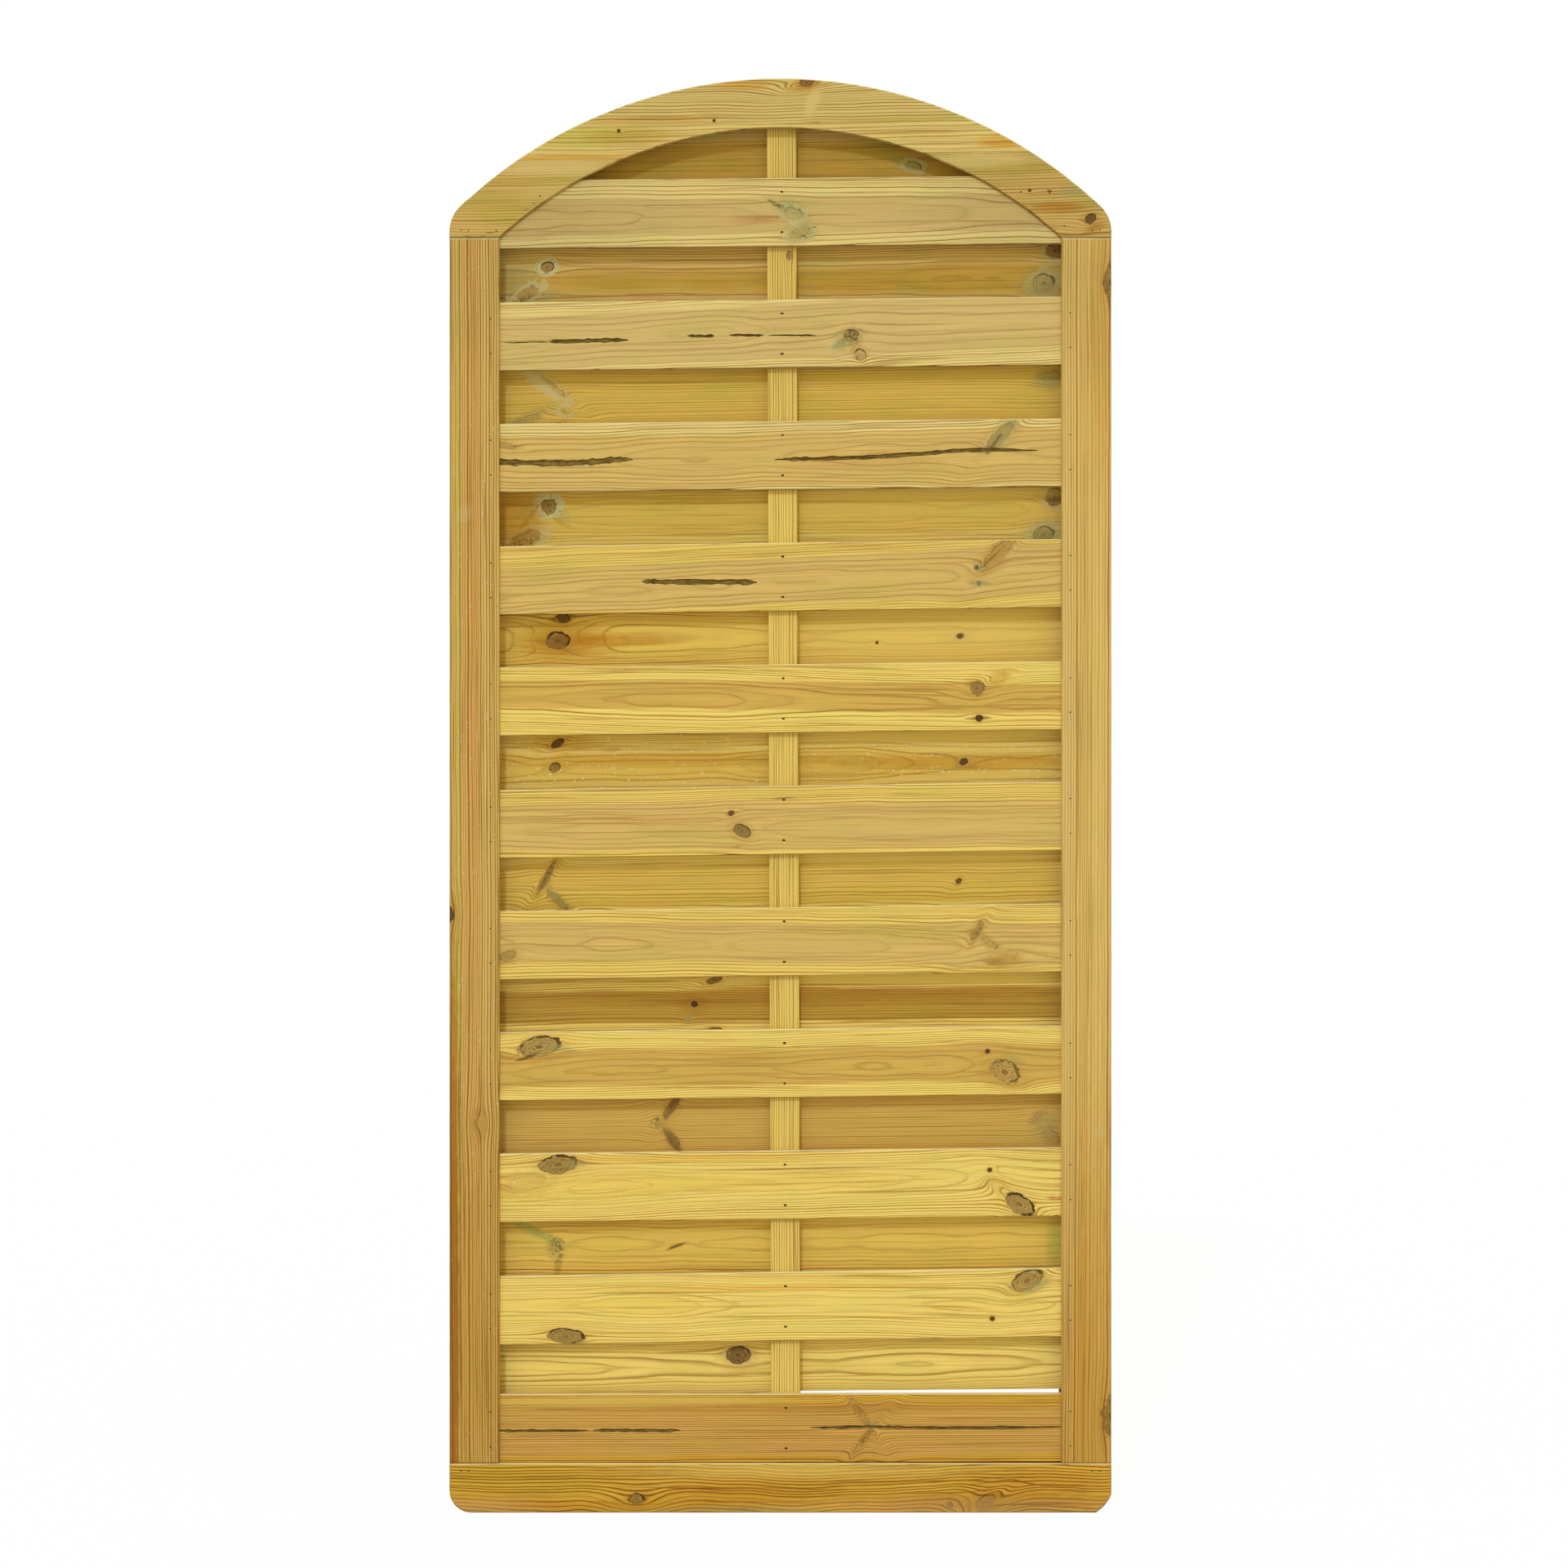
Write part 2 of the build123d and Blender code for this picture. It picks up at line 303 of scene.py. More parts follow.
def knot_group(name):
    """One knot: the grain flows round it, and it has a core, a rim, a halo and rings of its own."""
    shape = dict(
        Position="Vector", Along=0, Across=0, Half_Length=0.01, Half_Width=0.01, Turn=0, Bend=2.2, Push=1,
        Lift=0, Soundness=1, Darkness=0.3, Bark=0.8, Glow=0.5, Bleach=0, Bleach_Reach=1.8, Roughen=0, Crumbs=0,
    )
    so_far = {f"{key}_So_Far": 0 for key in CHAIN}
    net, given = new_group(name, shape | so_far, dict.fromkeys(CHAIN, 0))
    _, _, dz, u, v = net.oval(given)
    uu, vv = u * u, v * v
    reach = (uu + vv).math("SQRT") * (1.0 + given.roughen * (1.5 - given.bark * 0.9))
    core = reach.ramp(1.04, 0.95) * given.soundness
    pith = reach.ramp(0.34, 0.10) * given.soundness * 0.85
    bark_side = (v * 0.8 + u * 0.45 + given.roughen * 5.0).ramp(-0.4, 0.6)
    rim = abs(reach - 1.0).ramp(0.15, 0.05) * given.bark * (0.10 + bark_side * 0.90)
    halo = reach.ramp(2.5, 0.9) * given.glow
    pale = (reach - given.bleach_reach).ramp(0.08, -0.14) * reach.ramp(0.8, 1.15) * given.bleach
    share = (reach * 4.2 + given.roughen * 1.6).math("FRACT")
    rings = share.ramp(0.35, 0.80) * share.ramp(1.0, 0.90) * core
    crumbs = given.crumbs * reach.ramp(1.15, 0.80) * (0.25 + given.darkness)
    specks = given.crumbs * pale
    dark = (core * given.darkness).most(crumbs).most(pith)
    stretch = u / given.bend
    flow = 1.0 / (0.45 + stretch * stretch * 1.2 + vv * 1.1)
    shift = dz * -0.92 * flow.math("MINIMUM", 1.0) * given.push
    hill = given.lift * (-0.16 * (uu * 0.3 + vv)).math("EXPONENT")
    net.node(
        "NodeGroupOutput", Shift=given.shift_so_far + shift, Hill=given.hill_so_far + hill,
        Core=given.core_so_far.most(core.most(specks * 0.4)), Dark=given.dark_so_far.most(specks).most(dark),
        Rim=given.rim_so_far.most(rim), Halo=given.halo_so_far.most(halo),
        Rings=given.rings_so_far.most(rings), Pale=given.pale_so_far.most(pale),
    )
    return net.tree


def rings_group(name):
    """Growth rings round a pith that wanders behind the face, with fine fibres along them."""
    net, given = new_group(
        name,
        dict(
            Position="Vector", Shift=0, Hill=0, Pith_Across=0, Pith_Behind=0.05, Drift_Across=0, Drift_Behind=0,
            Sway=0.002, Ring_Width=0.003, Heart_Middle=0, Seed=0,
        ),
        dict.fromkeys(("Radius", "Band", *RING_LOOKS), 0),
    )
    place = along, behind, across = net.split(given.position)
    seed = given.seed
    low = net.cloud(net.stretched(place, (4, 4, 5), seed), detail=1.5) - 0.5
    other = net.join(along * 5.0 + 31.0, seed + across * 4.0, behind * 4.0)
    low_too = net.cloud(other, detail=2.0) - 0.5
    wobble = net.cloud(net.stretched(place, (18, 60, 140), seed), detail=2.0) - 0.5
    side = across + given.shift + low * given.sway * 3.0 - (given.pith_across + along * given.drift_across)
    back = behind + low_too * given.sway * 4.5 - (given.pith_behind + along * given.drift_behind)
    plain_radius = (side * side + back * back).math("SQRT")
    radius = plain_radius + given.hill + wobble * 0.0008
    lean = abs(side) / plain_radius
    years = radius / given.ring_width
    years = years + net.cloud(net.join(years * 0.23, seed, 0.0), detail=2.0) * 3.4
    share, year = years.math("FRACT"), years.math("FLOOR")
    chance = net.value("ShaderNodeTexWhiteNoise", {"noise_dimensions": "2D"}, Vector=net.join(year, seed, 0.0))
    onset = 0.80 + lean * -0.36 + chance * -0.12
    closing = share.ramp(1.0, 0.95)
    late = share.ramp(onset, 0.93) * closing * (0.35 + chance * 0.65)
    late = late.most(share.ramp(0.30, 0.95) * closing * 0.25 * (0.3 + chance))
    net.node(
        "NodeGroupOutput", Radius=radius,
        Band=abs(side + given.pith_across + low_too * 0.008 - given.heart_middle),
        Late=late * lean.ramp(0.0, 0.30, 0.40, 1.0),
        Tone=chance * share.ramp(0.0, 0.2) * share.ramp(1.0, 0.8),
        Fibre=net.cloud(net.stretched(place, (11, 300, 1000), seed), detail=3.0, roughness=0.65),
        Streak=net.cloud(net.stretched((along, behind, side), (3.5, 90, 330), seed), detail=2.0, roughness=0.6),
        Mottle=net.cloud(net.stretched(place, (9, 9, 24), seed), detail=3.0, roughness=0.6),
    )
    return net.tree


def stain_group(name):
    """One stain or mark: a patch with ragged edges that tints or covers the wood."""
    net, given = new_group(
        name,
        dict(
            Position="Vector", Wood="Color", Tint="Color", Along=0, Across=0, Half_Length=0.05, Half_Width=0.01,
            Turn=0, Strength=0.5, Covering=0, Ragged=0.3, Broken=0, Softness=0.5, Seed=0,
        ),
        dict(Base_Color="Color"),
    )
    along, across, _, u, v = net.oval(given)
    flat = (along, 0.0, across)
    ragged = (net.cloud(net.stretched(flat, (45, 1, 190), given.seed), detail=3.0) - 0.5) * given.ragged * 3.0
    reach = (u * u + v * v).math("SQRT") + ragged
    crumb = net.cloud(net.stretched(flat, (210, 1, 260), given.seed), detail=2.0).ramp(0.47, 0.60)
    shape = (reach - 1.0).ramp(given.softness, given.softness * -1.0) * (1.0 - given.broken * (1.0 - crumb))
    target = net.blend(given.covering, net.blend(1.0, given.wood, given.tint, "MULTIPLY"), given.tint)
    net.node("NodeGroupOutput", Base_Color=net.blend(shape * given.strength, given.wood, target))
    return net.tree


FLECK = (0.80, 0.76, 0.55)
LIT_TOP_EDGE = (0.88, 0.77, 0.38)
SHADED_UNDERSIDE = (0.35, 0.27, 0.16)


def timber_group(name):
    """Colour, roughness and height of planed, treated softwood from its rings and knots."""
    numbers = ("Radius", *RING_LOOKS, *CHAIN[2:])
    shades = (
        "Sapwood", "Heartwood", "Latewood", "Knot_Wood", "Dark_Knot", "Knot_Rim", "Knot_Shade", "Bleached",
    )
    net, given = new_group(
        name,
        dict(
            Position="Vector", **dict.fromkeys(numbers, 0), **dict.fromkeys(shades, "Color"), Green="Color",
            Heart_Radius=0.05, Line_Strength=0.5, Green_Cast=0.15, Flecks=0, Seed=0,
        ),
        dict(Base_Color="Color", Roughness=0, Height=0),
    )
    uneven = given.mottle - 0.5
    edge = given.radius + uneven * 0.004 + (given.streak - 0.5) * 0.004
    heart = (edge - given.heart_radius).ramp(0.0022, -0.0022)
    wood = net.blend(heart, given.sapwood, given.heartwood)
    cast = given.mottle.ramp(0.42, 0.72) * given.green_cast
    wood = net.blend(cast, wood, net.blend(1.0, wood, given.green, "MULTIPLY"))
    light = 0.755 + given.tone * 0.10 + given.fibre * 0.54 + given.streak * 0.14 + uneven * 0.12
    wood = net.value("ShaderNodeHueSaturation", Color=wood, Value=light)
    line = (given.late * given.line_strength).most(given.streak.ramp(0.52, 0.74) * given.line_strength * 0.75)
    line = line * (0.75 + given.fibre * 0.9) * (1.0 - given.core) * (1.0 - heart * 0.30)
    wood = net.blend(line, wood, given.latewood, "MULTIPLY")
    wood = net.blend(given.halo * (1.0 - given.core), wood, given.knot_shade, "MULTIPLY")
    wood = net.blend(given.pale, wood, given.bleached)
    fleck_place = net.stretched(net.split(given.position), (150, 300, 400), given.seed)
    fleck = net.cloud(fleck_place).ramp(0.70, 0.76) * given.flecks
    wood = net.blend(fleck, wood, FLECK)
    knot_light = 0.86 + given.rings * -0.60 + given.fibre * 0.5 + uneven * 0.9
    knot_wood = net.blend(given.dark, given.knot_wood, given.dark_knot)
    knot_wood = net.value("ShaderNodeHueSaturation", Color=knot_wood, Value=knot_light)
    wood = net.blend(given.rim, net.blend(given.core, wood, knot_wood), given.knot_rim)
    _, _, up = net.split(net.value("ShaderNodeNewGeometry", output="Normal"))
    wood = net.blend(up.ramp(0.25, 0.60, 0.0, 0.75), wood, LIT_TOP_EDGE)
    wood = net.blend(up.ramp(-0.30, -0.62, 0.0, 0.70), wood, SHADED_UNDERSIDE, "MULTIPLY")
    net.node(
        "NodeGroupOutput", Base_Color=wood,
        Roughness=0.60 + given.fibre * 0.16 + given.late * -0.08 + given.core * -0.1,
        Height=given.fibre * 0.5 + given.late * 0.25 + given.core * 0.35 + given.rings * 0.2
        + given.rim * -0.9 + fleck * 0.2,
    )
    return net.tree


# What is known of each board: its rings, its colours and its marks, in millimetres from the board's middle
# or, for a board of the arch, from the panel's middle line at the height of the board's lowest point

KNOT_STYLES = {
    "sound": dict(Soundness=0.9, Darkness=0.12, Bark=1, Glow=0.4, Bend=1.4, Lift=1.2),
    "dark": dict(Soundness=1, Darkness=0.75, Bark=0.9, Glow=0.6, Bend=1.6, Lift=1.2),
    "pip": dict(Soundness=1, Darkness=0.9, Bark=0.9, Glow=0.6, Bend=3, Lift=0.8),
    "spike": dict(Soundness=0.45, Darkness=0.35, Bark=0.35, Glow=0.5, Bend=1.2, Lift=0.6),
    "ghost": dict(Soundness=0.2, Darkness=0.2, Bark=0.15, Glow=0.4, Bend=1.3, Lift=1),
    "swirl": dict(Soundness=0.1, Darkness=0.2, Bark=0.15, Glow=0.2, Bend=1.4, Lift=2),
}
COVERING = ("bleached", "moss", "dirt", "resin", "knot")


def knot(along, across, half_length, half_width, style="sound", turn=0, **changes):
    """A knot's place, size and looks."""
    place = dict(Along=along, Across=across, Half_Length=half_length, Half_Width=half_width, Turn=turn)
    return KNOT_STYLES[style] | changes | place


def swell(along, half_length, lift, across=0):
    """A place where the rings rise (or sink) towards the face, and so close into long loops."""
    looks = dict(Soundness=0, Darkness=0, Bark=0, Glow=0, Push=0, Lift=lift)
    return looks | dict(Along=along, Across=across, Half_Length=half_length / 4.5, Half_Width=60)


def stain(tint, along, across, half_length, half_width, strength=0.5, turn=0, broken=0, **changes):
    """A tinted place, a streak or a mark on the face. Some tints cover the wood, the others dye it."""
    place = dict(Along=along, Across=across, Half_Length=half_length, Half_Width=half_width, Turn=turn)
    return dict(tint=tint, Covering=float(tint in COVERING), Strength=strength, Broken=broken) | place | changes


moss, dirt, brown, pink, orange, olive, pale, grey = (
    partial(stain, tint) for tint in ("moss", "dirt", "brown", "pink", "orange", "olive_tint", "pale", "grey")
)
# A pale sapwood band along the top of a rear slat's seen face. It is also painted light: it brightens the shadow
# that the front slat above casts there.
lit_edge = partial(stain, "butter", 210, 31, 210, 8, Covering=0.9, Softness=0.7, Ragged=0.15)


def split(points, width, depth=3.2):
    """A drying split along points (along, across), with its widest opening."""
    return dict(points=points, width=width, depth=depth)


def board(pith=(0, 45), drift=(0, 0), ring=2.3, sway=1.6, sap="pale", heart="tan", heart_half=30,
          heart_middle=None, lines=0.85, knots=(), splits=(), stains=(), green=0.3, flecks=0.0, seed=0.0,
          light=1.0):
    """Everything that makes one board differ from the next."""
    return dict(locals())


FRONT_SLATS = [
    board(pith=(-6, 60), drift=(4, 8), heart_middle=-4, heart_half=24, seed=1.3, light=0.915, lines=1, knots=[
        knot(17, -2, 13, 8, "sound", -0.2, Bleach=0.8, Bleach_Reach=1.7, Bark=0.6, Soundness=0.4),
        knot(26, -29, 13, 7, "spike", 0.3, Bleach=0.5),
    ], stains=[
        moss(14, 4, 24, 13, 0.7, -0.5, 0.7), moss(30, -27, 18, 12, 0.7, 0.2, 0.7),
        dirt(-7, 11, 13, 2.6, 0.7, -0.5, 0.3, Ragged=0.9), dirt(34, -33, 10, 3, 0.5, 0.1, 1),
        stain("bleached", 18, -12, 12, 7, 0.4, -0.7, 0.5), dirt(44, -22, 8, 3, 0.5, 0.4, 1),
        # The two wide grey tints at the slat's ends are painted shade: they darken it towards both ends.
        pink(-36, -10, 40, 6, 1), brown(-28, -9, 22, 1.6, 0.5), grey(-330, 0, 130, 70, 0.9, Softness=0.9),
        grey(330, 0, 120, 70, 0.9, Softness=0.9),
    ]),
    board(pith=(4, 50), drift=(30, 4), ring=2.8, heart_middle=2, heart_half=36, seed=2.7, light=0.975,
          lines=0.95, knots=[
        knot(96, -4, 10, 8, "sound", 0.2, Darkness=0.35),
        knot(82, -14, 8, 5, "spike", 0.8, Darkness=0.9, Soundness=0.7),
        knot(109, -31, 7, 9, "sound", 0.5, Soundness=0.4),
    ], splits=[
        split([(-376, -8.5), (-340, -8), (-312, -7.6)], 1.3),
        split([(-314, -7.6), (-300, -7.5), (-262, -7), (-228, -6.5), (-207, -7)], 5.2),
        split([(-127, -1.5), (-106, -2.5), (-90, -2)], 4.2), split([(-70, -1), (-45, -1.5), (-22, -2)], 3),
        split([(-18, -2.2), (20, -2.5), (50, -3)], 1.8),
    ], stains=[
        moss(92, -10, 18, 13, 0.6, 0.3, 0.8), dirt(97, -3, 12, 9, 0.75, 0, 1),
        dirt(78, -16, 10, 3, 0.7, 0.6, 0.7), dirt(108, -33, 5, 3, 0.6, 0, 0.8),
        stain("bleached", 75, -18, 14, 7, 0.5, 0.5), pink(102, -20, 7, 12, 0.6),
    ]),
    board(pith=(-2, 54), drift=(6, -8), heart="sand", heart_middle=-6, heart_half=36, seed=3.9,
          light=0.985, knots=[
        knot(298, 22, 26, 8, "spike", 0.75, Bleach=0.35, Bleach_Reach=1.5, Soundness=0.7, Darkness=0.2),
        knot(-374, 17, 13, 4, "spike", -0.2, Darkness=0.9),
    ], splits=[
        split([(-402, -5.5), (-381, -5.5), (-340, -7), (-290, -8), (-250, -6.5), (-228, -4), (-201, -4)], 8),
        split([(-8, -6), (20, -5.5), (60, -5), (120, -4), (190, 0), (235, 3.5), (290, 5), (350, 3)], 5),
    ], stains=[
        moss(304, 28, 24, 9, 0.6, 0.75, 0.5), dirt(290, 12, 18, 2.2, 0.5, 0.9, Ragged=0.9),
        pink(120, -8, 90, 12, 0.6),
    ]),
    board(pith=(-8, 50), drift=(34, 6), sap="golden", heart="sand", heart_middle=-5, heart_half=31,
          seed=4.4, light=0.98, knots=[
        knot(267, 9, 3, 3, "pip", Bleach=0.25, Bleach_Reach=2.6),
        knot(270, -12, 3, 3, "pip", Bleach=0.2, Bleach_Reach=2.4),
        knot(296, 26, 28, 9, "spike", 0.75, Soundness=0.35),
    ], splits=[
        split([(-188, -4), (-165, -4.5), (-110, -5.5), (-60, -6), (-32, -7)], 7),
    ], stains=[
        moss(270, -12, 16, 2.6, 0.7), moss(268, 9, 7, 6, 0.35), brown(296, 29, 32, 10, 0.45, 0.75),
        dirt(288, 22, 22, 1.4, 0.5, 0.75, Ragged=0.9), stain("bleached", 318, 32, 14, 4, 0.5, 0.8, 0.6),
    ]),
    board(pith=(-3, 36), drift=(-22, 2), sap="butter", heart="brown_heart", heart_middle=3,
          heart_half=19, seed=5.1, lines=0.9, knots=[
        knot(268, 11, 10, 9, "sound", 0.2, Darkness=0.35, Bark=0.5), knot(270, -30, 5, 4.5, "pip"),
        knot(300, 27, 15, 7, "swirl", 0.4, Lift=3), swell(-130, 140, -5, -4),
    ], stains=[
        dirt(270, -30, 15, 2.2, 0.7, Ragged=0.5), brown(298, 24, 15, 8, 0.6, 0.5),
    ]),
    board(pith=(-12, 46), drift=(-4, -6), sap="golden", heart="sand", heart_middle=-8, heart_half=31,
          seed=6.6, knots=[
        knot(-67, 10, 4, 3.5, "dark", 0.4), knot(-53, -14, 12, 8, "sound", -0.55, Darkness=0.6),
    ], stains=[
        dirt(6, 30, 16, 1.2, 0.6, 0.05), pink(-160, 2, 120, 5, 0.6), stain("resin", -60, -35, 8, 1.6, 0.4, 0.1),
    ]),
    board(pith=(-6, 44), drift=(-20, 6), sap="golden", heart="sand", heart_middle=-2, heart_half=26,
          seed=7.2, knots=[
        knot(-372, -15, 12, 6.5, "dark", 0.3, Darkness=0.3, Soundness=0.7, Bark=0.5),
        knot(268, 10, 15, 5, "spike", 1, Darkness=0.6, Soundness=0.6),
        knot(282, -4, 16, 4, "spike", -0.6, Darkness=0.5), knot(300, -27, 22, 9, "swirl", 0.2),
    ], stains=[
        dirt(268, 9, 13, 2.5, 0.6, 1, 0.8), brown(304, -30, 22, 8, 0.6, 0.2), olive(150, 10, 120, 10, 0.5),
    ]),
    board(pith=(-5, 34), sap="butter", heart="brown_heart", heart_middle=-3, heart_half=24, seed=8.5,
          lines=0.9, knots=[
        knot(-328, 26, 29, 13, "sound", 0.17, Bark=0.9, Darkness=0.1), knot(282, 13, 3.2, 3, "pip"),
        knot(305, -15, 21, 14, "sound", -0.5, Bark=0.7), swell(-270, 110, -4, -4), swell(150, 160, -5, -2),
    ], stains=[
        dirt(-345, 12, 16, 2.2, 0.7, 0.35, Ragged=0.7), moss(-300, 24, 24, 5, 0.4, -0.2),
        stain("green", -396, -38, 8, 9, 0.9), moss(-398, -40, 7, 8, 0.7, 0, 0.4),
        moss(318, 2, 18, 5, 0.4, -0.5, 0.5),
    ]),
    board(pith=(4, 34), drift=(4, 4), sap="butter", heart="straw", heart_half=20, seed=9.8,
          flecks=0.35, sway=1.3, lines=0.95, light=0.985, knots=[
        knot(-303, 31, 25, 12, "sound", 0.12, Darkness=0.35), knot(-345, 6, 24, 11, "ghost", 0.2),
        knot(285, 17, 3.2, 3, "pip"), knot(325, -30, 22, 12, "sound", -0.6, Darkness=0.35),
        knot(302, -12, 18, 8, "ghost", -0.7), swell(-250, 90, -4),
    ], stains=[
        stain("resin", 378, -23, 15, 2.6, 0.75, -0.03, 0.3, Ragged=0.9, Softness=0.5),
        moss(-280, 32, 14, 6, 0.6, 0, 0.6), orange(-150, 38, 200, 4, 0.5),
    ]),
    board(pith=(2, 33), drift=(-6, 4), sap="butter", heart="straw", heart_half=14, seed=10.4,
          sway=1.4, knots=[
        knot(-293, -36, 25, 10, "sound", -0.1, Bark=0.95, Darkness=0.45),
        knot(336, 30, 23, 13, "sound", 0.5, Bark=0.9, Darkness=0.3), knot(288, -21, 3.4, 3.2, "pip"),
        swell(-200, 110, -3), swell(280, 100, -3),
    ], stains=[
        orange(0, 26, 260, 3, 0.6), moss(350, 22, 18, 5, 0.5, 0.5),
    ]),
    board(pith=(110, 60), drift=(2, 2), sap="ochre", heart="rose", heart_middle=-2, heart_half=34,
          ring=2.4, sway=0.9, seed=11.9, lines=1.15, knots=[
        knot(112, 15, 21, 4, "spike", -1, Darkness=0.8), knot(113, -17, 22, 4, "spike", 0.95, Darkness=0.8),
    ], splits=[
        split([(-402, -2.5), (-379, -2.7), (-330, -3), (-285, -2.8), (-262, -2.6)], 3.4),
        split([(-255, -2.7), (-228, -2.5), (-190, -3), (-160, -3), (-136, -2.5)], 4.4),
        split([(40, 1), (80, 1), (120, 2), (160, 1), (230, 0), (300, 0.5), (402, 1)], 3.8),
    ], stains=[
        stain("golden", -200, 36, 210, 8, 0.6, Covering=0.9), dirt(116, 8, 16, 3, 0.5, -1, 0.9),
        dirt(114, -14, 18, 3, 0.5, 0.95, 0.9), moss(125, 2, 9, 5, 0.6, 0, 0.6), brown(0, 28, 400, 6, 0.5),
    ]),
]

